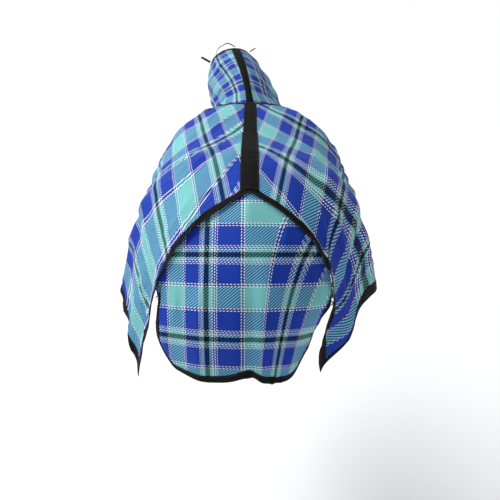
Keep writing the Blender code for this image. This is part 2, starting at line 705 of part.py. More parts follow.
def leg_hook(side, mats):
    """Snap hook in the ring: an open hook on a swivel barrel, and a sprung gate."""
    name = side_name(side)
    centre = hook_centre(side)
    down = strap_direction(side)
    out = np.array([-down[2], 0, down[0]])
    arc = np.radians(np.linspace(-58, 150, 12))
    points = [centre + down * 0.034, centre + down * 0.0335, centre + down * 0.0185, centre + down * 0.0170]
    radii = [BARREL_R * 0.8, BARREL_R, BARREL_R, HOOK_WIRE]
    for t in arc:
        points.append(centre + HOOK_R * (math.cos(t) * out - math.sin(t) * down))
        radii.append(HOOK_WIRE)
    radii[-1] = HOOK_WIRE * 0.7
    tube(name + "_leg_snap_hook", points, radii, mats["steel"], sides=8, origin=centre)
    base = centre + out * -0.0068 + down * 0.0098
    tip = centre + HOOK_R * (math.cos(arc[-1]) * out - math.sin(arc[-1]) * down)
    reach = unit(tip - base)
    top = tip - reach * (HOOK_WIRE + 0.0012)
    tube(name + "_leg_snap_gate", np.stack([base, (base + top) / 2, top]), 0.0013, mats["steel"], sides=8,
         origin=base)


def leg_strap(side, mats):
    name = side_name(side)
    centre = hook_centre(side)
    down = strap_direction(side)
    along = np.array([0, 1.0, 0])
    eye_mid = centre + down * (0.034 + 0.0005 + WIRE_R + 0.0045)
    eye = loop_frame(eye_mid, down, along, 0.0045, 0.0155)
    pivot = centre
    tube(name + "_leg_strap_eye", eye, WIRE_R, mats["steel"], closed=True, origin=pivot)
    bar = eye_mid + down * 0.0045
    wrap = WIRE_R + 0.0005 + WEBBING_T / 2
    out = np.array([-down[2], 0, down[0]])
    turn = [bar + wrap * (math.cos(t) * out - math.sin(t) * down) for t in np.linspace(0, math.pi, 7)]
    start = bar - out * wrap
    knee = start + down * STRAP_RUN
    end = leg_sewn_end(side)
    low = np.array([side * 0.115, -0.96, -0.90])
    run = rounded_path([start + down * 0.004, knee + down * 0.02, low, end + np.array([0, 0, -0.03]),
                        end + np.array([-side * 0.008, 0, 0.03])], 0.028, 5)
    path = np.concatenate([[bar + out * wrap + down * 0.034, bar + out * wrap + down * 0.004], turn,
                           split_runs(run, 0.08)])
    band(name + "_leg_strap", path, along, WEBBING, mats["web"], origin=pivot)
    slide = start + down * 0.055
    flat = loop_frame(slide, along, out, 0.0160, 0.0048, 1, 0.002)
    tube(name + "_leg_slide", flat, 0.0017, mats["steel"], closed=True, origin=slide)


def leg_sewn_end(side):
    p = on_body(np.array(-0.84), np.array(0.74), side)
    return p + np.array([-side * 0.036, 0, 0.0])


# ---------------------------------------------------------------- whole sheet

def main():
    clear_scene()
    mats = make_materials()
    for side in (-1, 1):
        body_panel(side, mats)
        rump_binding(side, mats)
        edge_binding(side, mats)
        neckline_binding(side, mats)
    spine_strips(mats)
    withers_pad(mats)
    tail_flap(mats)
    neck_cover(mats)
    throat_straps(mats)
    poll_fittings(mats)
    for name, z in CHEST_ROWS.items():
        chest_strap(name, z, mats)
        chest_buckle(name, z, mats)
    for name, y in BELLY_ROWS.items():
        belly_strap(name, y, mats)
    for side in (-1, 1):
        leg_ring(side, mats)
        leg_hook(side, mats)
        leg_strap(side, mats)


main()
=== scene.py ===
# %% [markdown]
# # A fly sheet, cell by cell
# A fly sheet is a light mesh rug for a horse.  Two plaid side panels meet at a dark strip along the
# spine, a flap hangs over the tail, and a tube of the same mesh, sewn on in front, covers the neck.
# Every piece here is drawn round a fixed frame of plain solids that carries the moving parts.

# %% Load the frame
import math

import bmesh
import bpy
import numpy as np
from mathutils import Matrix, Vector


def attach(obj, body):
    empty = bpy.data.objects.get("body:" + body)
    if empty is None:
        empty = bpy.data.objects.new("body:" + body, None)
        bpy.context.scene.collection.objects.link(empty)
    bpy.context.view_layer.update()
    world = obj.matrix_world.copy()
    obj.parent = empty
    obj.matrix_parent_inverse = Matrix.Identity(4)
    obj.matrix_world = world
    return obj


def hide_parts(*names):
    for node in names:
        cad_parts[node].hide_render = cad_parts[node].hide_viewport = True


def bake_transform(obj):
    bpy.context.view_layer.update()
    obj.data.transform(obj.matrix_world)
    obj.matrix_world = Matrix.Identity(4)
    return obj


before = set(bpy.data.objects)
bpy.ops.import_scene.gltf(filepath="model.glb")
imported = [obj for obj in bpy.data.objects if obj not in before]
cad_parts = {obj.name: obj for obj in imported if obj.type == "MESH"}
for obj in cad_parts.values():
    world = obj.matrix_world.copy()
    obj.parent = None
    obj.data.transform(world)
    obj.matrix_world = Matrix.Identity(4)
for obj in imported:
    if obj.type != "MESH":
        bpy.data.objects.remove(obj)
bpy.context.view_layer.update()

# %% [markdown]
# ## Camera, floor and light
# The camera stands behind the horse and a little above its back, looking forward and down.
# A big pale floor far below gives a plain background, because the sheet is shown as it is worn
# and nothing stands under it.  A broad sun and a soft square light, both from the upper left,
# shape the folds, and a pale room lights the shaded side.

# %% Camera
scene = bpy.context.scene
scene.view_settings.view_transform = "Standard"
CAMERA_PLACE = (0.01, -2.95, 0.66)
FOCAL_LENGTH = 40.32         # millimetres
LOOK_DOWN, LOOK_LEFT = 0.476, 0.004    # radians
lens = bpy.data.cameras.new("camera")
lens.lens = FOCAL_LENGTH
camera = bpy.data.objects.new("camera", lens)
camera.location = CAMERA_PLACE
camera.rotation_euler = (math.pi / 2 - LOOK_DOWN, 0, LOOK_LEFT)
scene.collection.objects.link(camera)
scene.camera = camera
print("camera looks down by", round(math.degrees(LOOK_DOWN), 1), "degrees")

# %% Floor and lights
FLOOR_Z = -2.4
FLOOR_CORNERS = ((-60, -20), (60, -20), (60, 90), (-60, 90))
floor_mesh = bpy.data.meshes.new("floor")
floor_mesh.from_pydata([(x, y, FLOOR_Z) for x, y in FLOOR_CORNERS], [], [(0, 1, 2, 3)])
floor = bpy.data.objects.new("floor", floor_mesh)
scene.collection.objects.link(floor)


def area_light(name, place, aim, size, power):
    """A square soft light that shines from its place towards the point it aims at."""
    data = bpy.data.lights.new(name, "AREA")
    data.size, data.energy = size, power
    lamp = bpy.data.objects.new(name, data)
    lamp.location = place
    lamp.rotation_euler = (Vector(aim) - Vector(place)).to_track_quat("-Z", "Y").to_euler()
    scene.collection.objects.link(lamp)


SUN_TURN = (math.radians(-16), math.radians(-32), 0)
SUN_POWER, SUN_SPREAD = 2.3, 0.8       # a wide sun has soft shadows
ROOM_COLOUR, ROOM_STRENGTH = (0.97, 0.985, 1.0, 1.0), 0.48

area_light("key", (-3.0, -1.2, 2.6), (0, -0.5, -0.3), 1.2, 80)
daylight = bpy.data.lights.new("daylight", "SUN")
daylight.energy, daylight.angle = SUN_POWER, SUN_SPREAD
sun = bpy.data.objects.new("daylight", daylight)
sun.rotation_euler = SUN_TURN
scene.collection.objects.link(sun)
world = bpy.data.worlds.new("room")
world.use_nodes = True
sky = world.node_tree.nodes["Background"].inputs
sky["Color"].default_value = ROOM_COLOUR
sky["Strength"].default_value = ROOM_STRENGTH
scene.world = world

# %% [markdown]
# ## Building materials from nodes
# A material is a small graph: coordinates go in at one end and a colour, a roughness and a height
# come out at the other.  These helpers keep each graph short to write.  Cloth needs coordinates that
# lie in the cloth, so every cloth piece carries a UV map in metres, which stays right over any fold.

# %% Node helpers
def new_material(name):
    """A new material, its node tree and its shader node."""
    mat = bpy.data.materials.new(name)
    mat.use_nodes = True
    tree = mat.node_tree
    return mat, tree, tree.nodes["Principled BSDF"]


def plug(tree, value, socket):
    """Links a node's output to a socket, or writes a plain number into it."""
    if isinstance(value, bpy.types.NodeSocket):
        tree.links.new(value, socket)
    else:
        socket.default_value = value


def maths(tree, operation, *values):
    """One Math node with its values or links, and its result."""
    node = tree.nodes.new("ShaderNodeMath")
    node.operation = operation
    for socket, value in zip(node.inputs, values):
        plug(tree, value, socket)
    return node.outputs[0]


def uv_axes(tree, layer="metres"):
    """The two coordinates of a UV map, one output each, and both together."""
    node = tree.nodes.new("ShaderNodeUVMap")
    node.uv_map = layer
    split = tree.nodes.new("ShaderNodeSeparateXYZ")
    tree.links.new(node.outputs[0], split.inputs[0])
    return split.outputs[0], split.outputs[1], node.outputs[0]


def wave(tree, value, pitch):
    """A smooth wave from 0 to 1 that repeats every pitch."""
    turned = maths(tree, "MULTIPLY", value, 2 * math.pi / pitch)
    return maths(tree, "MULTIPLY_ADD", maths(tree, "SINE", turned), 0.5, 0.5)


def remap(tree, value, low, high, to_low=0.0, to_high=1.0):
    """Stretches low..high to to_low..to_high, and holds it there beyond."""
    node = tree.nodes.new("ShaderNodeMapRange")
    for socket, number in zip(node.inputs, (value, low, high, to_low, to_high)):
        plug(tree, number, socket)
    return node.outputs[0]


print("node helpers", [f.__name__ for f in (plug, maths, uv_axes, wave, remap)])

# %% Colour, grain and bump helpers
def mix_colour(tree, share, first, second, blend="MIX"):
    """First colour at share 0, second at share 1; MULTIPLY darkens the first by the second."""
    node = tree.nodes.new("ShaderNodeMix")
    node.data_type = "RGBA"
    node.blend_type = blend
    plug(tree, share, node.inputs["Factor"])
    for key, value in ((6, first), (7, second)):
        plug(tree, value, node.inputs[key])
    return node.outputs[2]


def noise(tree, vector, scale, detail=2.0, stretch=(1, 1, 1)):
    """Cloudy grain; stretch lets it run long one way, as fibres do."""
    mapping = tree.nodes.new("ShaderNodeMapping")
    mapping.inputs["Scale"].default_value = stretch
    tree.links.new(vector, mapping.inputs["Vector"])
    node = tree.nodes.new("ShaderNodeTexNoise")
    node.inputs["Scale"].default_value = scale
    node.inputs["Detail"].default_value = detail
    tree.links.new(mapping.outputs[0], node.inputs["Vector"])
    return node.outputs[0]


def object_coords(tree):
    """Coordinates of the piece itself, in metres."""
    return tree.nodes.new("ShaderNodeTexCoord").outputs["Object"]


def bump(tree, shader, height, strength, distance):
    """Tilts the shading by a height, distance metres from its lowest to its highest."""
    node = tree.nodes.new("ShaderNodeBump")
    node.inputs["Strength"].default_value = strength
    node.inputs["Distance"].default_value = distance
    tree.links.new(height, node.inputs["Height"])
    tree.links.new(node.outputs[0], shader.inputs["Normal"])


def paint(*rgb):
    """A colour typed as 0-255 screen values, turned into the light values that shaders use."""
    c = np.array(rgb) / 255
    return (*np.where(c < 0.04045, c / 12.92, ((c + 0.055) / 1.055) ** 2.4), 1.0)


print("mid grey 128 is", round(float(paint(128, 128, 128)[0]), 3), "in light values")

# %% [markdown]
# ## The plaid mesh
# Plaid is one list of coloured stripes used twice: once along the cloth and once across it.
# Where two stripes cross, a twill weave shows first one thread and then the other in slanting lines,
# so blue over blue is solid, blue over mint looks slate, and a white thread turns into dashes.
# The graph does just that: two colour ramps, and a slanting wave that picks between them.

# %% Plaid stripes
STRIPES = (("mint", 0.1145), ("navy", 0.007), ("white", 0.012), ("navy", 0.017),
           ("white", 0.012), ("navy", 0.007), ("blue", 0.219), ("white", 0.010),
           ("navy", 0.013), ("white", 0.010), ("navy", 0.013), ("white", 0.010), ("mint", 0.028))
DARK_STRIPE, DARK_COVER = 0.059, 0.5   # its width, and how much of the other stripes it lets through
YARN = {"mint": paint(112, 184, 184), "navy": paint(10, 24, 96), "white": paint(214, 226, 242),
        "blue": paint(18, 54, 158), "dark": paint(12, 12, 28)}
HATCH = 0.0130               # distance between two slanting lines of the twill
THREAD_TURN = (0.28, 0.72)   # where one thread gives way to the other, within a line of the twill
MESH_HOLE = 0.0026           # distance between two holes of the mesh
REVERSE_GREY = paint(150, 160, 178)


def stripe_ramp(tree, value):
    """One repeat of the stripes as a colour ramp: out to the dark stripe and back, mirrored.

    Its alpha is low in the dark stripe, and darkens the stripes that cross it.
    """
    node = tree.nodes.new("ShaderNodeValToRGB")
    node.color_ramp.interpolation = "CONSTANT"
    order = list(STRIPES) + [("dark", DARK_STRIPE)] + list(STRIPES[::-1])
    start, marks = 0.0, node.color_ramp.elements
    total = sum(width for _, width in order)
    for number, (name, width) in enumerate(order):
        mark = marks[0] if number == 0 else marks.new(start / total)
        mark.position = start / total
        mark.color = (*YARN[name][:3], DARK_COVER if name == "dark" else 1.0)
        start += width
    marks.remove(marks[len(marks) - 1])
    plug(tree, maths(tree, "FRACT", maths(tree, "ADD", value, 0.5)), node.inputs[0])
    return node.outputs[0], node.outputs[1]


print("blue is", round(dict(STRIPES)["blue"] / sum(width for _, width in STRIPES), 2), "of the stripes")

# %% Plaid material
def plaid(name, brightness=1.0, grey=0.0, roughness=0.7):
    """Both ways' stripes picked by the twill, then streaks, clouds and painted shade in the holes of the
    mesh.
    """
    mat, tree, shader = new_material(name)
    across, along, _ = uv_axes(tree, "sett")
    first, first_cover = stripe_ramp(tree, across)
    second, second_cover = stripe_ramp(tree, along)
    x, y, flat = uv_axes(tree)
    slant = wave(tree, maths(tree, "ADD", x, y), HATCH)
    twill = remap(tree, slant, *THREAD_TURN)
    colour = mix_colour(tree, twill, first, second)
    cover = maths(tree, "MULTIPLY", first_cover, second_cover)
    streaks = noise(tree, flat, 60, 3, (1, 9, 1))
    clouds = noise(tree, flat, 7, 2)
    tone = maths(tree, "MULTIPLY", remap(tree, streaks, 0.3, 0.7, 0.90, 1.08),
                 remap(tree, clouds, 0.3, 0.7, 0.93, 1.05))
    tone = maths(tree, "MULTIPLY", maths(tree, "MULTIPLY", tone, cover), brightness)
    colour = mix_colour(tree, 1.0, colour, tone, "MULTIPLY")
    if grey:
        colour = mix_colour(tree, grey, colour, REVERSE_GREY)
    holes = maths(tree, "MULTIPLY", wave(tree, x, MESH_HOLE), wave(tree, y, MESH_HOLE))
    # painted shade: the colour is darkened in the holes of the mesh, where they sink in
    hole_shade = remap(tree, holes, 0.55, 0.95, 1.0, 0.72)
    colour = mix_colour(tree, 1.0, colour, hole_shade, "MULTIPLY")
    plug(tree, colour, shader.inputs["Base Color"])
    plug(tree, remap(tree, holes, 0.0, 1.0, roughness, roughness + 0.15), shader.inputs["Roughness"])
    shader.inputs["Sheen Weight"].default_value = 0.03
    shader.inputs["Sheen Roughness"].default_value = 0.45
    shader.inputs["Specular IOR Level"].default_value = 0.14
    height = maths(tree, "MULTIPLY_ADD", twill, 0.35, maths(tree, "SUBTRACT", 1.0, holes))
    bump(tree, shader, height, 0.45, 0.0006)
    return mat


PLAID = plaid("plaid_mesh")
PLAID_BACK = plaid("plaid_mesh_reverse", 0.8, 0.5, 0.8)
print("plaid has", 2 * len(STRIPES) + 1, "stripes in a repeat")

# %% [markdown]
# ## Tape, webbing, strip and metal
# Binding tape is ribbed across its length and a little silky.  Strap webbing is thicker, with a
# herringbone rib.  The spine strip is a soft brushed weave, so it is lighter and nearly matt.
# The metal parts are nickel plate: bright, with faint cloudy marks where they have been handled.

# %% Dark woven finishes
def woven(name, colour, other, rib, cross, roughness, depth, sheen):
    """Ribs every rib metres along the band, crossed by finer slanting lines every cross metres; the raised
    threads are painted lighter as a painted highlight, over a real grain.
    """
    mat, tree, shader = new_material(name)
    x, y, flat = uv_axes(tree)
    ribs = wave(tree, x, rib)
    lines = wave(tree, maths(tree, "ADD", y, maths(tree, "MULTIPLY", x, 0.5)), cross)
    height = maths(tree, "MULTIPLY_ADD", lines, 0.45, ribs)
    grain = noise(tree, flat, 160, 3, (1, 4, 1))
    wear = noise(tree, flat, 14, 3)
    # painted highlight and shade: the raised ribs take the lighter colour and the grooves the darker one,
    # mixed with real thread grain
    share = remap(tree, maths(tree, "MULTIPLY_ADD", height, 0.3, grain), 0.35, 1.1)
    share = maths(tree, "MULTIPLY", share, remap(tree, wear, 0.25, 0.75, 0.6, 1.25))
    plug(tree, mix_colour(tree, share, colour, other), shader.inputs["Base Color"])
    plug(tree, remap(tree, grain, 0.3, 0.7, roughness - 0.07, roughness + 0.08), shader.inputs["Roughness"])
    shader.inputs["Sheen Weight"].default_value = sheen
    shader.inputs["Sheen Roughness"].default_value = 0.4
    shader.inputs["Specular IOR Level"].default_value = 0.05
    bump(tree, shader, height, 0.5, depth)
    return mat


TAPE_CLOTH = woven("binding_tape", paint(8, 7, 8), paint(22, 20, 20), rib=0.0011, cross=0.0022,
                   roughness=0.6, depth=0.0004, sheen=0.01)
WEBBING_CLOTH = woven("strap_webbing", paint(9, 9, 10), paint(30, 29, 30), rib=0.0021, cross=0.0034,
                      roughness=0.52, depth=0.0007, sheen=0.01)
STRIP_CLOTH = woven("spine_webbing", paint(11, 10, 10), paint(27, 24, 24), rib=0.0016, cross=0.0016,
                    roughness=0.72, depth=0.0004, sheen=0.015)
print("woven finishes", TAPE_CLOTH.name, WEBBING_CLOTH.name, STRIP_CLOTH.name)


# %% Thread, fleece, nickel and floor
def thread_material():
    """Dark grey thread with a fine lighter fleck."""
    mat, tree, shader = new_material("sewing_thread")
    spot = noise(tree, object_coords(tree), 900, 1)
    plug(tree, mix_colour(tree, spot, paint(40, 39, 40), paint(96, 94, 95)), shader.inputs["Base Color"])
    plug(tree, remap(tree, spot, 0.3, 0.7, 0.45, 0.6), shader.inputs["Roughness"])
    return mat


def fleece_material():
    """Two sizes of cloudy grain: tight curls over broader tufts."""
    mat, tree, shader = new_material("fleece")
    place = object_coords(tree)
    curls = noise(tree, place, 260, 4)
    tufts = noise(tree, place, 70, 2)
    plug(tree, mix_colour(tree, remap(tree, curls, 0.3, 0.7), paint(34, 34, 37), paint(92, 91, 96)),
         shader.inputs["Base Color"])
    plug(tree, remap(tree, tufts, 0.3, 0.7, 0.86, 0.98), shader.inputs["Roughness"])
    shader.inputs["Sheen Weight"].default_value = 0.5
    bump(tree, shader, maths(tree, "MULTIPLY_ADD", tufts, 1.5, curls), 0.9, 0.003)
    return mat


def nickel_material():
    """Bright metal, dulled in faint clouds and by fine scratches that run one way."""
    mat, tree, shader = new_material("nickel_plate")
    place = object_coords(tree)
    cloud = noise(tree, place, 90, 4)
    scratch = noise(tree, place, 700, 2, (1, 6, 1))
    plug(tree, mix_colour(tree, remap(tree, cloud, 0.35, 0.7), paint(206, 206, 209), paint(168, 167, 168)),
         shader.inputs["Base Color"])
    plug(tree, remap(tree, scratch, 0.35, 0.75, 0.18, 0.34), shader.inputs["Roughness"])
    shader.inputs["Metallic"].default_value = 1.0
    bump(tree, shader, scratch, 0.12, 0.0002)
    return mat


def floor_material():
    """A nearly white matt floor with a faint cloud in it."""
    mat, tree, shader = new_material("pale_floor")
    grain = noise(tree, object_coords(tree), 2.0, 2)
    plug(tree, mix_colour(tree, grain, (0.955, 0.955, 0.955, 1), (0.965, 0.965, 0.965, 1)),
         shader.inputs["Base Color"])
    shader.inputs["Roughness"].default_value = 0.9
    shader.inputs["Specular IOR Level"].default_value = 0.1
    return mat


THREAD, FLEECE, NICKEL = thread_material(), fleece_material(), nickel_material()
floor.data.materials.append(floor_material())
print("materials", len(bpy.data.materials))

# %% [markdown]
# ## The worn shape as formulas
# A rug has no shape of its own: it takes the shape of the back it lies on.  Each point of the cloth
# is found from two numbers, how far forward it is and how far down from the spine it is measured
# along the cloth.  The same formulas shape the fixed frame, so each piece lands where it belongs.

# %% Sizes of the sheet, metres
BODY_HALF_GIRTH, JUNCTION_GIRTH, NECK_GIRTH = 0.93, 0.49, 0.55
RUMP_Y, RUMP_DROP_BACK = -1.015, 0.14
CHEST_Y, CHEST_RUN, NECK_START_Y, FRONT_OPEN = 0.02, 0.52, 0.03, 0.0035
SPINE_WIDTH, SPINE_STEP_Y = 0.072, -0.42
BINDING, NECKLINE_BINDING = 0.032, 0.040
POLL_CENTRE = (-0.095, 0.71, 0.0675)
POLL_HALF_WIDTH, POLL_HALF_HEIGHT, CREST_WIDTH = 0.118, (0.0, -0.11, 0.1275), 0.042
NECK_PINCH, NECK_LEAN = 0.22, 0.018
FLAP_LEFT_X, FLAP_RIGHT_X = 0.362, 0.25
FLAP_BACK_Y, FLAP_SIDE_Y, FLAP_HEM_Z, FLAP_SEAM = -1.34, -1.14, -0.735, 0.42
FLAP_HALF_SPAN, FLAP_DROP = 0.42, 0.62 # cloth from the flap's middle to its side, and arch to hem
ACROSS, FORWARD, UP = np.eye(3)        # the three directions of the frame
SIDES = {-1: "left", 1: "right"}
print("girth from spine to hem", BODY_HALF_GIRTH, "m, tapes", BINDING, "m wide")

# %% Smooth steps and hills
def smooth(low, high, value):
    """0 up to low, 1 from high on, and an S curve between them."""
    t = np.clip((value - low) / (high - low), 0, 1)
    return t * t * (3 - 2 * t)


def unit(v):
    """The same directions with length 1."""
    v = np.asarray(v, float)
    return v / np.linalg.norm(v, axis=-1, keepdims=True)


def hump(value, middle, width):
    """A smooth hill of height 1."""
    return np.exp(-((value - middle) / width) ** 2)


print("half way up a smooth step", float(smooth(0, 1, 0.5)))


# %% Back line and girth
BACK_DIP, LOIN_DROP, RUMP_FALL, CHEST_FALL = 0.040, 0.02, 0.44, 0.22
START_SLOPE, END_SLOPE = (4, 10, 3), (76, 4, 2)   # degrees: on the ribs, more at the rump, more in front
BEND_END = 0.76              # girth distance at which the slope has turned to hanging
WALK_STEPS = 49


def spine_height(y):
    """Top line of the back: a dip behind the withers, the fall of the rump and of the chest."""
    dip = -BACK_DIP * hump(y, -0.40, 0.25)
    loin = -LOIN_DROP * smooth(-0.3, -0.8, y)
    rump = -RUMP_FALL * np.clip(-0.72 - y, 0, None) ** 1.45
    return dip + loin + rump - CHEST_FALL * np.clip(y - 0.02, 0, None) ** 1.2


def girth_curve(y, girth, side):
    """Reach sideways and down after walking a girth distance: the slope turns from flat to hanging.

    The slope angle is an S curve of the distance, and its cosine and sine are averaged over the walk
    with half weight at the two ends.  On the right the rear corner is drawn in under the flap.
    """
    y, girth = np.broadcast_arrays(np.asarray(y, float), np.asarray(girth, float))
    left = side < 0
    rear, front = smooth(-0.74, -1.16, y), smooth(-0.15, 0.45, y)
    start = np.radians(START_SLOPE[0] + START_SLOPE[1] * rear + START_SLOPE[2] * front)
    hang = np.radians(END_SLOPE[0] + (0 if left else END_SLOPE[1]) * rear + END_SLOPE[2] * front)
    bend = BEND_END - (0.19 if left else 0.24) * rear - 0.05 * front
    t = np.linspace(0, 1, WALK_STEPS)
    weight = np.full(WALK_STEPS, 1.0)
    weight[[0, -1]] = 0.5
    weight /= WALK_STEPS - 1
    turned = smooth(0, 1, girth[..., None] * t / bend[..., None])
    angle = start[..., None] + (hang - start)[..., None] * turned
    out, down = (np.cos(angle) @ weight) * girth, (np.sin(angle) @ weight) * girth
    corner = smooth(-0.98, -1.15, y) * smooth(JUNCTION_GIRTH, BODY_HALF_GIRTH, girth)
    return (out, down) if left else (out - 0.115 * corner, down - 0.035 * corner)


def on_body(y, girth, side):
    """A point of the cloth: the girth curve hung on the top line, closed in at the chest like a nose."""
    out, down = girth_curve(y, girth, side)
    nose = (1 - np.clip((y - CHEST_Y) / CHEST_RUN, 0, 1) ** 2.6) ** (1 / 2.2)
    return np.stack([side * out * nose, np.broadcast_to(y, out.shape), spine_height(y) - down], -1)


print("half width at the hem", round(float(girth_curve(-0.5, BODY_HALF_GIRTH, -1)[0]), 3))


# %% Edges of the side panels
def rear_edge(girth):
    """Y of the rear edge: an arch over the tail, then nearly straight down."""
    a = np.clip(girth / JUNCTION_GIRTH, 0, 1)
    drop_back = RUMP_DROP_BACK * (1 - (1 - a) ** 1.9)
    return RUMP_Y - drop_back + 0.03 * smooth(JUNCTION_GIRTH, BODY_HALF_GIRTH, girth)


def front_edge(girth):
    """Y of the front edge: the neck opening, then the chest's centre line."""
    a = np.clip(girth / NECK_GIRTH, 0, 1)
    return NECK_START_Y + (CHEST_Y + CHEST_RUN - FRONT_OPEN - NECK_START_Y) * a ** 1.3


def hem_girth(s, side):
    """Girth distance of the hem, where s runs from the rear corner (0) to the chest (1)."""
    if side < 0:
        return BODY_HALF_GIRTH + 0.05 * hump(s, 0.22, 0.16)
    return BODY_HALF_GIRTH - 0.005 + 0.03 * hump(s, 0.24, 0.08) - 0.09 * hump(s, 0.105, 0.070)


def panel_point(s, girth, side):
    """A point of a side panel, s from the rear edge (0) to the front edge (1)."""
    rear = rear_edge(girth)
    return on_body(rear + s * (front_edge(girth) - rear), girth, side)


def edge_shift(girth, width):
    """Part of the panel's length that a tape of the given width takes at its edges."""
    return width / (front_edge(girth) - rear_edge(girth))


def front_width(girth):
    """Length of the neckline tape measured along Y, wider where the edge runs at a slant."""
    return NECKLINE_BINDING * (1 + 0.25 * smooth(0, 0.3, girth)) * (1 - 0.82 * smooth(0.42, 0.55, girth))


print("back height at the rump", round(float(spine_height(RUMP_Y)), 3))

# %% [markdown]
# ## Folds
# Light cloth never hangs flat.  Below the ribs it falls in soft upright folds, along the turn of
# the ribs it slips into two or three long creases, and beside a seam the stitching gathers it in
# tiny puckers.  The folds are a height added along the cloth's normal, the sum of a few waves.

# %% Fold heights
rng = np.random.default_rng(7)
RIPPLES = [(*rng.uniform(5, 26, 2) * rng.choice([-1, 1], 2), rng.uniform(0, 6.28)) for _ in range(14)]
NORMAL_STEP = 5e-4           # the small difference that a normal is worked out from
BODY_FOLD = {"rib": 0.011, "below": 0.008, "above": 0.006, "upright": 0.0075, "fine": 0.0045,
             "gather": 0.0013, "puff": 0.004, "crease": 0.0100, "slant": 0.0070, "ripple": 0.0016}


def ripples(a, b, size):
    """Small uneven waves: the sum of slanting sine waves of mixed lengths."""
    total = sum(np.sin(one * a + two * b + phase) for one, two, phase in RIPPLES)
    return size * total / len(RIPPLES) ** 0.5


def creases(a, b, size, seed=0.0):
    """Narrow rounded ridges that run along b, wander a little, and fade in and out in patches."""
    bend = 1.5 * np.sin(6 * b + seed) + 0.9 * np.sin(13 * b + 5 * a + 2 * seed)
    patch = smooth(-0.2, 0.8, np.sin(7 * a + 3.1 * seed) * np.sin(9 * b - 4 * a + seed))
    fine = smooth(-0.1, 0.9, np.sin(11 * a - 6 * b + seed) * np.sin(5 * b + 8 * a + 1.7 * seed))
    wide = (1 - np.abs(np.sin(17 * a + bend))) ** 2 * patch
    narrow = (1 - np.abs(np.sin(41 * a + 2.3 * bend + seed))) ** 2 * fine
    return size * (wide + 0.5 * narrow)


def body_folds(y, girth, side):
    """Long creases where the ribs turn, upright folds below, gathers at the seam, and slack cloth."""
    hang = smooth(0.30, 0.85, girth)
    turn = 0.53 + 0.10 * (y + 0.75)
    long_fold = BODY_FOLD["rib"] * hump(girth, turn, 0.030)
    long_fold = long_fold - BODY_FOLD["below"] * hump(girth, turn + 0.065, 0.028)
    long_fold = long_fold + BODY_FOLD["above"] * hump(girth, turn - 0.09, 0.035)
    long_fold = long_fold * smooth(-1.10, -0.92, y) * smooth(-0.05, -0.35, y)
    upright = BODY_FOLD["upright"] * np.sin(27 * y + 3.0 * girth + (0.6 if side < 0 else 2.1))
    upright = upright + BODY_FOLD["fine"] * np.sin(51 * y - 4.0 * girth + side)
    gather = BODY_FOLD["gather"] * np.exp(-np.abs(girth) / 0.07) * np.sin(150 * y + 2 * np.sin(31 * y))
    puff = BODY_FOLD["puff"] * hump(y, -0.03, 0.05) * smooth(0.03, 0.10, girth)
    puff = puff * np.sin(24 * girth + side)
    quiet = smooth(0.02, 0.09, np.abs(girth))
    slack = creases(y + 0.55 * girth, girth - 0.3 * y, BODY_FOLD["crease"], 1.3 * side)
    slant = creases(girth * 1.2 - 0.4 * y, y, BODY_FOLD["slant"], 4.0 + side)
    slack = slack + slant * smooth(0.10, 0.3, girth)
    small = (puff + slack + ripples(y, girth * 1.6, BODY_FOLD["ripple"])) * quiet
    return long_fold + upright * hang + gather + small


print("deepest body fold", round(float(body_folds(np.linspace(-1, 0, 300)[:, None],
                                                   np.linspace(0, 0.9, 200)[None], -1).max()), 4), "m")


# %% Cloth laid over the curves
def pushed(shape, a, b, height, outward=-1):
    """Points of shape(a, b) moved by height along the surface's normal, and the normals.

    The normal is the cross product of two small differences of the shape.
    """
    along = shape(a + NORMAL_STEP, b) - shape(a - NORMAL_STEP, b)
    across = shape(a, b + NORMAL_STEP) - shape(a, b - NORMAL_STEP)
    normal = unit(np.cross(along, across)) * outward
    return shape(a, b) + normal * np.asarray(height)[..., None], normal


def skin(s, girth, side, lift=0.0):
    """A point of the folded side panel, raised off it by lift."""
    y = rear_edge(girth) + s * (front_edge(girth) - rear_edge(girth))
    height = body_folds(y, girth, side) + lift
    return pushed(lambda a, b: panel_point(a, b, side), s, girth, height, -side)


def spine_skin(y, offset, lift=0.0):
    """A point near the spine, offset to the horse's right (+) or left (-)."""
    def shape(a, b):
        return np.where((b < 0)[..., None], on_body(a, np.abs(b), -1), on_body(a, np.abs(b), 1))
    y, offset = np.broadcast_arrays(np.asarray(y, float), np.asarray(offset, float))
    height = np.where(offset < 0, body_folds(y, np.abs(offset), -1), body_folds(y, np.abs(offset), 1))
    return pushed(shape, y, offset, height * smooth(0.0, 0.03, np.abs(offset)) + lift)


print("top of the withers", [round(float(v), 3) for v in spine_skin(-0.05, 0.0)[0]])

# %% [markdown]
# ## From a grid of points to a mesh
# One helper turns any grid into faces.  The grid may close on itself one way, as a tape's
# cross-section does, or both ways, as a ring does, and open ends get a cap.  Cloth keeps its real
# thickness from a Solidify modifier, whose inner side can show the duller reverse of the print.

# %% Mesh helpers
CLOTH_THICK = 0.0010
CLOTH_SINK = -0.0010         # the cloth's outer face lies this far inside the tapes' faces


def walked_along(line):
    """Distance walked from a line's first point to each of its points, in metres."""
    return np.concatenate([[0], np.linalg.norm(np.diff(line, axis=0), axis=1).cumsum()])


def between(at, walked, values):
    """Values read off a line, by straight lines between its points, at the distances asked for."""
    return np.stack([np.interp(at, walked, values[:, k]) for k in range(3)], 1)


def arc_lengths(points, axis=0):
    """Distance walked along the grid's middle line, in metres."""
    return walked_along(np.take(points, points.shape[1 - axis] // 2, 1 - axis))


def face_outwards(mesh):
    """Turns every face of a closed shape outwards."""
    bm = bmesh.new()
    bm.from_mesh(mesh)
    bmesh.ops.recalc_face_normals(bm, faces=bm.faces)
    bm.to_mesh(mesh)
    bm.free()


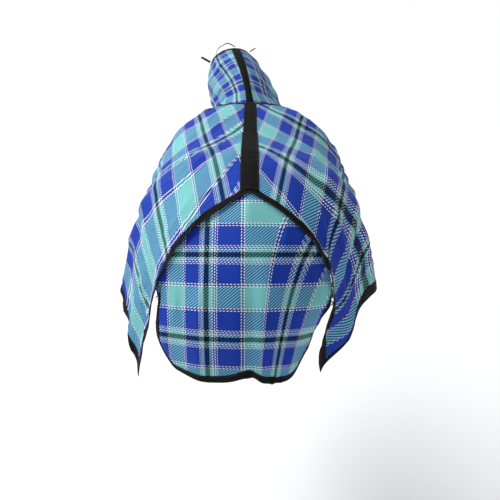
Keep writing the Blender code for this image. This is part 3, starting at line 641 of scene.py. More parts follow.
def add_piece(mesh, mat):
    """Smooth shading, a material, and a place in the scene."""
    mesh.shade_smooth()
    mesh.materials.append(mat)
    obj = bpy.data.objects.new(mesh.name, mesh)
    scene.collection.objects.link(obj)
    return obj


print("walking 3 and then 4 metres", walked_along(np.array([[0, 0], [3, 0], [3, 4]])))

# %% A grid of points made a mesh
def grid_mesh(name, grid, mat, layers, around=False, ring=False, normals=None):
    """Quads between neighbouring grid points.  layers maps a UV map's name to its grid of (u, v).

    A sheet faces the way of its normals; a closed shape has none given, and is turned outwards.
    """
    rows, cols = grid.shape[:2]
    i, j = np.meshgrid(np.arange(rows if ring else rows - 1),
                       np.arange(cols if around else cols - 1), indexing="ij")
    i2, j2 = (i + 1) % rows, (j + 1) % cols
    quads = np.stack([i * cols + j, i2 * cols + j, i2 * cols + j2, i * cols + j2], -1).reshape(-1, 4)
    corners = np.stack([np.stack([i, j], -1), np.stack([i + 1, j], -1), np.stack([i + 1, j + 1], -1),
                        np.stack([i, j + 1], -1)], 2).reshape(-1, 4, 2)
    if normals is not None:
        facing = np.cross(grid[1:, :-1] - grid[:-1, :-1], grid[:-1, 1:] - grid[:-1, :-1])
        if (facing * normals[:-1, :-1]).sum() < 0:
            quads, corners = quads[:, ::-1], corners[:, ::-1]
    faces = quads.tolist()
    if around and not ring:
        faces += [list(range(cols))[::-1], [(rows - 1) * cols + k for k in range(cols)]]
    mesh = bpy.data.meshes.new(name)
    mesh.from_pydata(grid.reshape(-1, 3).tolist(), [], faces)
    for layer, uv in layers.items():
        values = uv[corners[..., 0], corners[..., 1]].reshape(-1, 2)
        spare = len(mesh.loops) - len(values)
        values = np.concatenate([values, np.tile(values[:1], (spare, 1))])
        mesh.uv_layers.new(name=layer).data.foreach_set("uv", values.astype(np.float32).ravel())
    if normals is None:
        face_outwards(mesh)
    return add_piece(mesh, mat)


print("a grid of 3 by 4 points has", (3 - 1) * (4 - 1), "faces")

# %% Thickness and riding
def thicken(obj, thickness, back=None):
    """Gives a sheet its thickness inwards; back is the material of its reverse."""
    solid = obj.modifiers.new("thickness", "SOLIDIFY")
    solid.thickness = thickness
    solid.offset = -1
    if back:
        obj.data.materials.append(back)
        solid.material_offset = 1
    return obj


def finish_piece(obj, body, slot_name, nodes=(), also=None, start=None, end=None):
    """Lets a piece ride on a body, or bakes its place in when a second body is named, and hides the solids
    it stands for.
    """
    if also:
        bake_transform(obj)
    else:
        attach(obj, body)
    if nodes:
        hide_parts(*nodes)
    return obj


print("cloth", CLOTH_THICK * 1000, "mm thick")

# %% [markdown]
# ## Side panels
# Each panel is one cut of mesh from the spine to the hem.  The weave runs a little askew to the
# spine, because the panel is cut on the slant so that it falls straight over the ribs, and the
# stripes bend near the spine seam where the cloth is eased in.

# %% Where the stripes lie on a panel
PANEL_STRIPES = {-1: (0.983, 0.616, -3.511, -0.858, -1.389, 0.555),
                 1: (-1.043, -0.623, 3.707, -1.291, -1.484, 0.435)}
EASED = 0.34                 # girth distance over which the cross stripes bend


def panel_layers(y, girth, side):
    """Stripe counts along and across the panel, and the plain distances in metres."""
    a0, a1, a2, b0, b1, b2 = PANEL_STRIPES[side]
    bent = np.clip(1 - girth / EASED, 0, None) ** 2
    sett = np.stack([a0 + a1 * y + a2 * girth, b0 + b1 * y + b2 * bent], -1)
    return {"sett": sett, "metres": np.stack([side * girth, -y], -1)}


print("stripe counts at the rump", panel_layers(np.array(RUMP_Y), np.array(0.0), -1)["sett"].round(2))


# %% Panel cloth
def side_panel(side):
    """The folded panel on a grid whose rows crowd together towards the chest, where it curves most."""
    s = 1 - (1 - np.linspace(0.001, 0.9995, 230)[:, None]) ** 1.35
    low = 0.004
    high = hem_girth(s, side) - 0.0025
    girth = low + np.linspace(0, 1, 112)[None, :] * (high - low)
    s, girth = np.broadcast_arrays(s, girth)
    y = rear_edge(girth) + s * (front_edge(girth) - rear_edge(girth))
    points, normals = skin(s, girth, side, CLOTH_SINK)
    name = SIDES[side]
    obj = grid_mesh(name + "_plaid_panel", points, PLAID, panel_layers(y, girth, side),
                    normals=normals)
    thicken(obj, CLOTH_THICK, PLAID_BACK)
    finish_piece(obj, "root", "plaid_mesh", [name + "_body_panel"])
    print(obj.name, len(obj.data.polygons), "faces")
    return obj


panels = {side: side_panel(side) for side in SIDES}

# %% [markdown]
# ## Binding tape
# A raw edge of mesh would fray, so a tape is folded over it and sewn through.  The tape is a
# U-shaped profile carried along the edge: one leaf outside, one inside, and the cloth between them.
# A flat tape over a seam is a simpler profile, a thin lens with round edges.

# %% Tape profiles
def folded_profile(width, proud=0.0009, thick=0.0009, inside=-0.0032):
    """A closed U as (share of the width, height).

    The fold is a half circle at share 0, and both leaves end at share 1.
    """
    t = np.linspace(0, 1, 7)
    fold = np.linspace(0, math.pi, 7)[1:-1]
    middle, half = (proud + inside) / 2, (proud - inside) / 2
    reach = half / width
    top = np.stack([1 - t, proud + 0.0004 * np.sin(math.pi * t)], -1)
    nose = np.stack([-reach * np.sin(fold), middle + half * np.cos(fold)], -1)
    under = np.stack([t, inside + 0 * t], -1)
    back_in = np.stack([1 - t, inside + thick + 0 * t], -1)
    back_out = np.stack([t, proud - thick + 0 * t], -1)
    return np.concatenate([top, nose, under, back_in[:-1], back_out[1:]])


def flat_profile(proud=0.0012, under=-0.0006, edge=0.04):
    """A closed thin lens as (share of the width, height), a little crowned."""
    t = np.linspace(0, 1, 9)
    top = np.stack([t, proud + 0.0005 * np.sin(math.pi * t) - 0.0006 * (np.abs(2 * t - 1) ** 12)], -1)
    low = np.stack([1 - t, np.full(9, under)], -1)
    return np.concatenate([top, low])


print("points round a folded tape", len(folded_profile(BINDING)), "and a flat one", len(flat_profile()))


# %% Tapes laid along a surface
def carried(place, outer, inner, profile):
    """The profile carried along a strip whose two edges are given in the surface's own two numbers."""
    share, lift = profile[None, :, 0], profile[None, :, 1]
    a = outer[:, 0:1] + share * (inner[:, 0:1] - outer[:, 0:1])
    b = outer[:, 1:2] + share * (inner[:, 1:2] - outer[:, 1:2])
    return place(a, b, lift)[0]


def band_layers(grid, around=True, ring=False):
    """UV map in metres: the first number runs along the band and the second round its profile."""
    rows, cols = grid.shape[:2]
    loop = np.concatenate([grid, grid[:, :1]], 1) if around else grid
    loop = np.concatenate([loop, loop[:1]], 0) if ring else loop
    along = arc_lengths(loop, 0)
    across = arc_lengths(loop, 1)
    return {"metres": np.stack(np.meshgrid(along, across, indexing="ij"), -1)}


def tape(name, place, outer, inner, profile, mat=None):
    """A tape's profile carried along a strip and made a closed mesh."""
    grid = carried(place, outer, inner, profile)
    return grid_mesh(name, grid, mat or TAPE_CLOTH, band_layers(grid), around=True)


seams = {}                   # stitch rows for each body, filled while the tapes are made


def sew(body, place, outer, inner, shares, lift=0.0016):
    """Notes rows of stitches on a strip, at the given shares of its width."""
    for share in shares:
        line = outer + share * (inner - outer)
        points, normals = place(line[:, 0], line[:, 1], np.full(len(line), lift))
        seams.setdefault(body, []).append((points, normals))


print("bodies with stitch rows so far", len(seams))

# %% Tapes of the body
def edge_tape(side):
    """Down the rear edge, along the hem and up the chest edge, with mitred corners."""
    start = JUNCTION_GIRTH + 0.001
    hem_s = 1 - (1 - np.linspace(0, 1, 240)) ** 1.5
    rear = np.linspace(0, 1, 50)[:-1]
    chest = np.linspace(0, 1, 50)[1:]
    rear_out, rear_in = (start + rear * (hem_girth(0.0, side) - w - start) for w in (0, BINDING))
    low_out, low_in = hem_girth(1.0, side), hem_girth(1.0, side) - BINDING
    front_out, front_in = (low + chest * (NECK_GIRTH + 0.002 - low) for low in (low_out, low_in))
    outer_s = np.concatenate([0 * rear, hem_s, 1 + 0 * chest])
    outer_g = np.concatenate([rear_out, hem_girth(hem_s, side), front_out])
    inner_g = np.concatenate([rear_in, hem_girth(hem_s, side) - BINDING, front_in])
    first = edge_shift(inner_g, BINDING)
    last = 1 - edge_shift(inner_g, front_width(inner_g))
    inner_s = first + outer_s * (last - first)
    outer, inner = np.stack([outer_s, outer_g], 1), np.stack([inner_s, inner_g], 1)

    def place(a, b, lift):
        return skin(a, b, side, lift)

    name = SIDES[side]
    obj = tape(name + "_hem_tape", place, outer, inner, folded_profile(BINDING))
    sew("root", place, outer, inner, (0.14, 0.90))
    return finish_piece(obj, "root", "binding", [name + "_edge_binding"])


def neck_tape(side):
    """Over the seam where the neck cover is joined on."""
    girth = np.linspace(0.0, NECK_GIRTH, 90)
    outer = np.stack([1 + 0 * girth, girth], 1)
    inner = np.stack([1 - edge_shift(girth, front_width(girth)), girth], 1)

    def place(a, b, lift):
        return skin(a, b, side, lift)

    name = SIDES[side]
    obj = tape(name + "_neckline_tape", place, outer, inner, folded_profile(NECKLINE_BINDING))
    sew("root", place, outer, inner, (0.12, 0.88))
    return finish_piece(obj, "root", "binding", [name + "_neckline_binding"])


def rump_tape():
    """One flat tape over the seam of the tail flap, from one side's junction to the other's."""
    reach = np.linspace(-JUNCTION_GIRTH, JUNCTION_GIRTH, 190)

    def place(a, b, lift):
        left, right = skin(a, np.abs(b), -1, lift), skin(a, np.abs(b), 1, lift)
        here = (b < 0)[..., None]
        return np.where(here, left[0], right[0]), np.where(here, left[1], right[1])

    inner = np.stack([edge_shift(np.abs(reach), BINDING), reach], 1)
    outer = np.stack([0 * reach, reach], 1)
    obj = tape("rump_tape", place, outer, inner, flat_profile())
    sew("root", place, outer, inner, (0.10, 0.90), 0.0014)
    return finish_piece(obj, "root", "binding", ["left_rump_binding", "right_rump_binding"])


body_tapes = [edge_tape(-1), edge_tape(1), neck_tape(-1), neck_tape(1), rump_tape()]
print("tapes", [obj.name for obj in body_tapes])

# %% [markdown]
# ## Spine strip
# A wide dark strip covers the long seam along the back.  It is two lengths: the wide rear one laps
# over the narrower front one, and both have the shallow wrinkles of a strip that was pressed flat
# and then bent over a back.

# %% Strip lengths
def strip_wrinkles(y, offset):
    """Cross wrinkles: three sharp small ridges that lie slantwise over the strip, and ripples."""
    ridges = 0.0016 * hump(y + 0.5 * offset, -0.73, 0.006) + 0.0012 * hump(y - 0.2 * offset, -0.13, 0.005)
    return ridges + 0.0010 * hump(y + 0.1 * offset, -0.34, 0.005) + ripples(y * 2, offset * 5, 0.0004)


def strip(name, nodes, y_from, y_to, width, proud):
    """A flat tape laid along the spine between two places, standing proud of the cloth."""
    y = np.linspace(y_from, y_to, 150)
    outer, inner = np.stack([y, 0 * y - width / 2], 1), np.stack([y, 0 * y + width / 2], 1)

    def place(a, b, lift):
        return spine_skin(a, b, lift + strip_wrinkles(a, b))

    obj = tape(name, place, outer, inner, flat_profile(proud, -0.0008), STRIP_CLOTH)
    sew("root", place, outer, inner, (0.05, 0.95), proud + 0.0002)
    return finish_piece(obj, "root", "spine_webbing", nodes)


strip("spine_strip_wide", ["spine_strip_rear"], RUMP_Y + 0.008, SPINE_STEP_Y + 0.016,
      SPINE_WIDTH, 0.0032)
strip("spine_strip_narrow", ["spine_strip_front"], SPINE_STEP_Y - 0.01, NECK_START_Y + 0.004,
      SPINE_WIDTH - 0.008, 0.0018)
print("the wide strip laps over the narrow one by", round(0.016 + 0.01, 3), "m")

# %% [markdown]
# ## Fleece pad
# A strip of fleece under the withers keeps the sheet from rubbing.  It is a soft slab, fat in the
# middle and thin at its bound edges, with rows of shallow quilting.

# %% Withers pad
PAD_REAR_Y, PAD_FRONT_Y, PAD_HALF_WIDTH = -0.30, -0.02, 0.085
PAD_THICK, QUILT_STEP = 0.0062, 0.056


def withers_fleece():
    """A slab laid under the spine: full thickness inside, thin at its rim, dipped at each quilt row.

    The dip is the square root of a sine, so it is sharp in the row and round between two rows.
    """
    y = np.linspace(PAD_REAR_Y, PAD_FRONT_Y, 70)[:, None]
    across = np.linspace(-1, 1, 44)[None, :]
    plump = (1 - across ** 8) * (1 - ((y + 0.16) / 0.14) ** 8)
    quilt = 0.85 + 0.15 * np.abs(np.sin(math.pi * (y + 0.30) / QUILT_STEP)) ** 0.5
    top, _ = spine_skin(y, across * PAD_HALF_WIDTH, -0.0086 - 0.001 * (1 - plump))
    low, _ = spine_skin(y, across * PAD_HALF_WIDTH, -0.0098 - PAD_THICK * plump * quilt)
    loop = np.concatenate([top, low[:, ::-1]], 1)
    obj = grid_mesh("withers_fleece", loop, FLEECE, band_layers(loop), around=True)
    finish_piece(obj, "root", "fleece", ["withers_fleece_pad"])
    print(obj.name, "is", round(PAD_FRONT_Y - PAD_REAR_Y, 3), "m long")


withers_fleece()

# %% [markdown]
# ## Tail flap
# The flap is one sheet hung from the arch seam.  Its middle rests on the tail and its sides fall
# free, so a shallow valley runs down the centre.

# %% Shape of the flap
def arch_point(u):
    """Points of the arch seam, from left (-1) to right (1)."""
    girth = np.abs(u) * JUNCTION_GIRTH
    left, right = (on_body(rear_edge(girth) + 0.006, girth, side) for side in (-1, 1))
    return np.where((u < 0)[..., None], left, right)


def flap_point(u, v):
    """u runs from left (-1) to right (1), v from the arch (0) to the hem (1).

    Each line of constant u is a cubic curve that leaves the arch outwards and reaches the hem going down.
    """
    u, v = np.broadcast_arrays(np.asarray(u, float), np.asarray(v, float))
    reach = np.abs(u)
    top = arch_point(u) * np.array([0.965, 1, 1]) - np.array([0, 0, 0.009])
    crown = np.clip(1 - reach ** 2.1, 0, 1) ** 0.75
    half = np.where(u < 0, FLAP_LEFT_X, FLAP_RIGHT_X)
    corner = np.where(u < 0, 0.085 * smooth(0.74, 1.0, reach), 0.12 * smooth(0.55, 1.0, reach) ** 1.5)
    lift = corner + 0.03 * hump(u, 0, 0.16)
    back = FLAP_SIDE_Y + (FLAP_BACK_Y - FLAP_SIDE_Y) * crown
    hem = np.stack([half * np.sign(u) * reach ** 0.85, back, FLAP_HEM_Z + lift], -1)
    drop = np.linalg.norm(hem - top, axis=-1)[..., None]
    angle = np.radians(24 + 58 * reach ** 1.2)
    leave = np.stack([0.10 * u, -np.cos(angle), -np.sin(angle)], -1) * 1.15 * drop
    arrive = np.stack([-0.10 * u, 0.10 + 0 * u, -1 + 0 * u], -1) * drop
    v = v[..., None]
    return ((2 * v ** 3 - 3 * v ** 2 + 1) * top + (v ** 3 - 2 * v ** 2 + v) * leave
            + (3 * v ** 2 - 2 * v ** 3) * hem + (v ** 3 - v ** 2) * arrive)


FLAP_FOLD = {"valley": 0.012, "bank": 0.005, "long": 0.005, "dent": 0.004, "crease": 0.0075,
             "ripple": 0.0012}


def flap_folds(u, v):
    """A valley down the middle, long soft folds that open towards the hem, and small ripples."""
    low = smooth(0.05, 0.8, v)
    valley = -FLAP_FOLD["valley"] * hump(u, 0.02, 0.07) * low
    valley = valley + FLAP_FOLD["bank"] * hump(u, 0.17, 0.08) * low
    folds = FLAP_FOLD["long"] * np.sin(13.0 * u + 1.2 * v + 0.4) * low * (1 - hump(u, 0, 0.12))
    dent = -FLAP_FOLD["dent"] * hump(u, -0.55, 0.10) * smooth(0.25, 0.6, v)
    quiet = smooth(0.0, 0.10, v) * (1 - 0.6 * smooth(0.9, 1.0, np.abs(u)))
    slack = creases(u * 0.5 + 0.05 * v, v * 0.6, FLAP_FOLD["crease"], 2.2)
    small = slack + ripples(u * 0.35, v * 0.5, FLAP_FOLD["ripple"])
    return (valley + folds + dent + small) * quiet


def flap_skin(u, v, lift=0.0):
    """A point of the folded flap, raised off it by lift."""
    return pushed(flap_point, u, v, flap_folds(u, v) + lift)


FLAP_HINGE = flap_point(np.array(0.0), np.array(FLAP_SEAM))
FLAP_START = FLAP_HINGE + np.array([0, 0.012, 0.02])
FLAP_END = FLAP_HINGE + np.array([0, -0.05, -0.10])
print("flap lifts about", [round(float(x), 3) for x in FLAP_HINGE])

# %% Flap cloth and its tape
FLAP_REPEAT = 0.37           # metres of flap cloth for one repeat of the plaid
FLAP_BACK, FLAP_DOWN, FLAP_SLOPE = 0.4586, 0.8886, 0.82  # the way down the flap, and its slope
DARK_ROW, DARK_COLUMN = 0.953, -0.155  # where the dark stripes cross


def flap_layers(points, u):
    """Stripe counts on the flap: rows from the distance down it, columns from the distance across.

    The right columns fan out towards the hem, and the outer ones are stretched where the side turns away.
    """
    x, y, z = points[..., 0], points[..., 1], points[..., 2]
    down = -(FLAP_BACK * y + FLAP_DOWN * z) / FLAP_SLOPE
    sideways = np.where(x > 0, x * (1 + 1.75 * (down - 1.045)), x)
    across = np.where(sideways < DARK_COLUMN, DARK_COLUMN + (sideways - DARK_COLUMN) * 1.62, sideways)
    across = np.where(across > 0.05, 0.05 + (across - 0.05) * 1.35, across)
    sett = np.stack([(across - DARK_COLUMN) / FLAP_REPEAT, (down - DARK_ROW) / FLAP_REPEAT], -1)
    return {"sett": sett, "metres": np.stack([x, down], -1)}


def under_arch_seam(u):
    """Points just under the arch seam, where the flap is sewn in."""
    girth = np.abs(u) * JUNCTION_GIRTH
    shift = edge_shift(girth, 0.012)
    left, right = (skin(shift, girth, side, -0.0036)[0] for side in (-1, 1))
    return np.where((u < 0)[..., None], left, right)


def flap_cloth():
    """The folded flap, with one more row of points that tucks it under the arch seam."""
    u = np.linspace(-0.998, 0.998, 150)[:, None]
    v = np.linspace(0.0, 0.997, 116)[None, :]
    u, v = np.broadcast_arrays(u, v)
    points, normals = flap_skin(u, v, CLOTH_SINK)
    points = np.concatenate([under_arch_seam(u[:, 0])[:, None], points], 1)
    normals = np.concatenate([normals[:, :1], normals], 1)
    obj = grid_mesh("tail_flap", points, PLAID, flap_layers(points, u), normals=normals)
    thicken(obj, CLOTH_THICK, PLAID_BACK)
    return finish_piece(obj, "root", "plaid_mesh", ["tail_flap_upper", "tail_flap_skirt"],
                        "tail_skirt", FLAP_START, FLAP_END)


TAPE_TOP = 0.02              # the side tapes start this share of the way down


def flap_tape():
    """One folded tape down the left side, along the hem and up the right side, with square corners."""
    rise = np.linspace(TAPE_TOP, 1, 110)
    width_u, width_v = BINDING / FLAP_HALF_SPAN, BINDING / FLAP_DROP
    across = np.linspace(-1, 1, 150)[1:-1]
    inner_rise = TAPE_TOP + (rise - TAPE_TOP) * (1 - width_v - TAPE_TOP) / (1 - TAPE_TOP)
    outer_u = np.concatenate([-1 + 0 * rise, across, 1 + 0 * rise])
    outer_v = np.concatenate([rise, 1 + 0 * across, rise[::-1]])
    inner_v = np.concatenate([inner_rise, np.full(len(across), 1 - width_v), inner_rise[::-1]])
    outer = np.stack([outer_u, outer_v], 1)
    inner = np.stack([outer_u * (1 - width_u), inner_v], 1)
    obj = tape("tail_flap_tape", flap_skin, outer, inner, folded_profile(BINDING))
    sew("tail", flap_skin, outer, inner, (0.12, 0.88))
    finish_piece(obj, "root", "binding", ["tail_flap_binding"], "tail_skirt", FLAP_START, FLAP_END)


flap = flap_cloth()
flap_tape()
print(flap.name, len(flap.data.polygons), "faces")

# %% [markdown]
# ## Neck cover
# The neck cover is a tube of the same mesh: wide where it leaves the shoulders, narrow at the poll,
# open at both ends and closed under the throat with straps.

# %% Shape of the neck cover
def neck_point(s, a):
    """s runs from the base (0) to the poll (1), a round the neck from the crest (0) to the throat (-1, 1).

    A ruled tube between the neck opening and an oval at the poll, drawn in just after the seam.
    """
    s, a = np.broadcast_arrays(np.asarray(s, float), np.asarray(a, float))
    reach = np.abs(a)
    girth = reach * (NECK_GIRTH - 0.01)
    edge = on_body(front_edge(girth), girth, 1)
    x_base = np.sign(a) * edge[..., 0] * (0.935 - 0.50 * smooth(0.55, 1.0, reach))
    base = np.stack([x_base, edge[..., 1] + 0.008 - 0.036 * reach ** 3, edge[..., 2] - 0.012], -1)
    turn = math.pi * a
    poll = np.asarray(POLL_CENTRE) + np.cos(turn)[..., None] * np.asarray(POLL_HALF_HEIGHT)
    round_x = np.sign(np.sin(turn)) * np.abs(np.sin(turn)) ** 0.9
    cheek = 1 + 0.30 * np.clip(-np.sin(turn), 0, 1) * smooth(0.45, 0.9, s)
    poll = poll + np.stack([POLL_HALF_WIDTH * round_x * cheek, 0 * s, 0 * s], -1)
    w = s[..., None]
    out = base + (poll - base) * np.concatenate([np.clip(w, 0, None) ** 1.5, w, w], -1)
    swell = np.sin(math.pi * s)
    crest = 0.06 * swell * np.clip(np.cos(turn), 0, 1) ** 2
    pinch = 1 - NECK_PINCH * smooth(0, 0.16, s) * (1 - smooth(0.16, 0.7, s))
    out = out * np.stack([pinch, 1 + 0 * s, 1 + 0 * s], -1)
    return out + np.stack([0.012 * swell * round_x - NECK_LEAN * swell, -0.3 * crest, crest], -1)


NECK_FOLD = {"slack": 0.0055, "cross": 0.0035, "gather": 0.0022, "crease": 0.0080, "ripple": 0.0010}


def neck_folds(s, a):
    """Slack cloth: slanting folds on both sides, and gathers where it joins the body."""
    side = smooth(0.08, 0.3, np.abs(a))
    slack = NECK_FOLD["slack"] * np.sin(22 * a + 9 * s) * hump(s, 0.5, 0.32)
    cross = NECK_FOLD["cross"] * np.sin(26 * s - 7 * a + 1.0)
    cross = cross * smooth(0.05, 0.3, s) * smooth(0.98, 0.7, s)
    gather = NECK_FOLD["gather"] * np.sin(60 * a) * np.exp(-s / 0.10)
    wrinkles = creases(a * 0.6 + 0.4 * s, s * 0.7, NECK_FOLD["crease"], 0.7)
    wrinkles = wrinkles + ripples(s * 0.7, a * 0.8, NECK_FOLD["ripple"])
    return (slack + cross + gather + wrinkles) * side


def neck_skin(s, a, lift=0.0):
    """A point of the folded neck cover, raised off it by lift."""
    s, a = np.broadcast_arrays(np.asarray(s, float), np.asarray(a, float))
    s_safe = np.clip(s, 6e-4, None)
    return pushed(neck_point, s_safe, a, neck_folds(s, a) + lift)


BEND_FROM = np.array([0.0, 0.05, 0.0])
NECK_BEND = (BEND_FROM, BEND_FROM + unit(np.array([0, 0.74, 0.67])) * 0.30)
POLL_S = 0.955               # where the poll tape's inner edge lies
CLOTH_END, THROAT_OUT, THROAT_IN = 0.970, 0.972, 0.923   # shares of the way round to the throat


def neck_piece(obj, slot_name, nodes=()):
    """A piece of the neck cover, with its place baked in and the solids it stands for hidden."""
    return finish_piece(obj, "root", slot_name, nodes, "neck_cover", *NECK_BEND)


def crest_reach(s):
    """Half the crest strip's width as a part of the way round, at s."""
    return CREST_WIDTH / 2 / (0.55 - 0.17 * s)


print("poll centre", POLL_CENTRE, "crest strip half width at the poll", round(crest_reach(1.0), 3))


# %% Neck cloth
def neck_panel(side):
    """One side of the tube, from the crest strip to the throat, with two rows tucked under the neckline."""
    s = np.linspace(0.001, 0.996, 124)[:, None]
    t = np.linspace(0, 1, 84)[None, :]
    low = crest_reach(s) * 0.8
    s, a = np.broadcast_arrays(s, side * (low + t * (CLOTH_END - low)))
    points, normals = neck_skin(s, a, CLOTH_SINK)
    girth = np.abs(a[0]) * (NECK_GIRTH - 0.01)
    seam, _ = skin(1 - edge_shift(girth, 0.016), girth, side, -0.0046)
    points = np.concatenate([seam[None], (0.4 * seam + 0.6 * points[0])[None], points])
    normals = np.concatenate([normals[:1], normals[:1], normals])
    s, a = (np.concatenate([grid[:1] - step, grid])
            for grid, step in ((s, [[0.04], [0.02]]), (a, [[0], [0]])))
    sett = np.stack([0.35 + 2.5 * a + 0.35 * s, 0.15 + 3.2 * s + 0.3 * np.abs(a)], -1)
    metres = np.stack([a * 0.5, s * 0.75], -1)
    name = SIDES[side]
    obj = grid_mesh(name + "_neck_cloth", points, PLAID, {"sett": sett, "metres": metres},
                    normals=normals)
    thicken(obj, CLOTH_THICK, PLAID_BACK)
    return neck_piece(obj, "neck_mesh", [name + "_neck_panel"])


neck_cloths = {side: neck_panel(side) for side in SIDES}
print("neck cloth", [len(obj.data.polygons) for obj in neck_cloths.values()], "faces")


# %% Crest, poll and throat tapes
def neck_strips():
    """A flat strip along the crest, a folded tape round the poll, and one down each throat edge."""
    s = np.linspace(0.0, POLL_S + 0.02, 110)
    reach = crest_reach(s)
    obj = tape("crest_tape", neck_skin, np.stack([s, -reach], 1), np.stack([s, reach], 1),
               flat_profile(0.0022, -0.0006), STRIP_CLOTH)
    sew("neck", neck_skin, np.stack([s, -reach], 1), np.stack([s, reach], 1), (0.07, 0.93), 0.0022)
    neck_piece(obj, "spine_webbing", ["crest_strip"])
    a = np.linspace(-THROAT_OUT, THROAT_OUT, 150)
    outer, inner = np.stack([1 + 0 * a, a], 1), np.stack([POLL_S + 0 * a, a], 1)
    obj = tape("poll_tape", neck_skin, outer, inner, folded_profile(0.03))
    sew("neck", neck_skin, outer, inner, (0.15, 0.88))
    neck_piece(obj, "binding", ["poll_binding"])
    s = np.linspace(0.002, POLL_S - 0.003, 100)
    for side, name in SIDES.items():
        outer = np.stack([s, side * (THROAT_OUT + 0 * s)], 1)
        inner = np.stack([s, side * (THROAT_IN + 0 * s)], 1)
        obj = tape(name + "_throat_tape", neck_skin, outer, inner, folded_profile(0.026))
        sew("neck", neck_skin, outer, inner, (0.15, 0.88))
        neck_piece(obj, "binding", [name + "_throat_binding"])


neck_strips()
print("stitch rows so far", {body: len(rows) for body, rows in seams.items()})

# %% [markdown]
# ## Straps
# Webbing is a flat woven band with rounded edges, sewn down with a box of stitches.  A strap here
# is a lens-shaped profile carried along a line of points, turned so that its width stays square
# to a given direction.

# %% Paths
WEBBING, WEBBING_T = 0.025, 0.0022     # width and thickness of a strap
WIRE_R, HOOK_R, HOOK_WIRE, BARREL_R = 0.0018, 0.0105, 0.0024, 0.0048


def fine_path(points, step):
    """The same path walked in even steps, straight between its points."""
    points = np.asarray(points, float)
    walked = walked_along(points)
    return between(np.linspace(0, walked[-1], max(3, int(round(walked[-1] / step)) + 1)), walked, points)


def rounded_path(corners, radius, arc_steps=10):
    """Straight runs whose corners are rounded by quadratic curves of the given reach."""
    corners = [np.asarray(c, float) for c in corners]
    points = [corners[0]]
    for before, corner, after in zip(corners, corners[1:], corners[2:]):
        start, end = corner + unit(before - corner) * radius, corner + unit(after - corner) * radius
        for t in np.linspace(0, 1, arc_steps):
            points.append((1 - t) ** 2 * start + 2 * t * (1 - t) * corner + t * t * end)
    return np.array(points + [corners[-1]])


print("strap", WEBBING * 1000, "mm wide, wire", WIRE_R * 2000, "mm thick")


# %% Bands along a path
def band_frame(path, side):
    """Side and face directions of a flat band at each point of its path."""
    tangent = unit(np.gradient(path, axis=0))
    side = np.broadcast_to(np.asarray(side, float), path.shape)
    side = unit(side - tangent * (side * tangent).sum(-1, keepdims=True))
    return side, np.cross(tangent, side)


def webbing(name, path, side, width, thickness=WEBBING_T, mat=None):
    """Flat webbing: a lens profile carried along a path, its width lying along side."""
    path = np.asarray(path, float)
    across, face = band_frame(path, side)
    t = np.linspace(-1, 1, 9)
    crown = thickness / 2 * (1 - 0.35 * t ** 8)
    profile = np.concatenate([np.stack([t, crown], 1), np.stack([t[::-1], -crown[::-1]], 1)])
    grid = (path[:, None] + across[:, None] * profile[None, :, :1] * width / 2
            + face[:, None] * profile[None, :, 1:])
    return grid_mesh(name, grid, mat or WEBBING_CLOTH, band_layers(grid), around=True)


def stitch_box(body, path, side, width, face_lift, start, length):
    """A sewn box with a cross on a strap's face, from start metres along its path."""
    path = fine_path(path, 0.002)
    walked = walked_along(path)
    across, face = band_frame(path, side)
    half = width / 2 - 0.003
    corners = [(0, -1), (1, -1), (1, 1), (0, 1), (0, -1), (1, 1), (1, -1), (0, 1)]
    for (a0, b0), (a1, b1) in zip(corners, corners[1:]):
        t = np.linspace(0, 1, 24)
        place = start + (a0 + (a1 - a0) * t) * length
        off = (b0 + (b1 - b0) * t) * half
        normal = unit(between(place, walked, face))
        points = between(place, walked, path) + between(place, walked, across) * off[:, None]
        points = points + normal * face_lift
        seams.setdefault(body, []).append((points, normal * np.sign(face_lift)))


print("strap", WEBBING_T * 1000, "mm thick at its middle")

# %% Wire along a path
def wire(name, path, radius, closed=False, sides=12):
    """Round wire: a circle carried along a path whose points lie roughly in one plane."""
    path = np.asarray(path, float)
    radius = np.broadcast_to(np.asarray(radius, float), (len(path),))
    step = np.roll(path, -1, 0) - np.roll(path, 1, 0) if closed else np.gradient(path, axis=0)
    tangent = unit(step)
    plane = np.linalg.svd(path - path.mean(0))[2][2]
    one = unit(plane - tangent * (tangent @ plane)[:, None])
    two = np.cross(tangent, one)
    angle = 2 * math.pi * np.arange(sides) / sides
    circle = np.cos(angle)[None, :, None] * one[:, None] + np.sin(angle)[None, :, None] * two[:, None]
    grid = path[:, None] + circle * radius[:, None, None]
    return grid_mesh(name, grid, NICKEL, band_layers(grid, ring=closed), around=True, ring=closed)


def loop_frame(centre, one, two, half_one, half_two, corner=0.003, steps=8):
    """A closed rectangle with round corners, the shape of a wire frame."""
    points = []
    for quarter in range(4):
        sign_one, sign_two = (1, -1, -1, 1)[quarter], (1, 1, -1, -1)[quarter]
        angle = math.pi / 2 * (quarter + np.linspace(0, 1, steps + 1))[:, None]
        p = np.asarray(centre) + one * (sign_one * (half_one - corner) + corner * np.cos(angle))
        points.append(p + two * (sign_two * (half_two - corner) + corner * np.sin(angle)))
    return np.concatenate(points)


print("points round a wire frame", len(loop_frame(np.zeros(3), ACROSS, UP, 0.01, 0.01)))

# %% [markdown]
# ## Fittings of the neck cover
# Three hook-and-loop straps close the throat, two tabs and a loop at the poll hold the fly mask.

# %% Throat straps and tabs
THROAT_REACH, THROAT_HALF = 0.86, 0.035


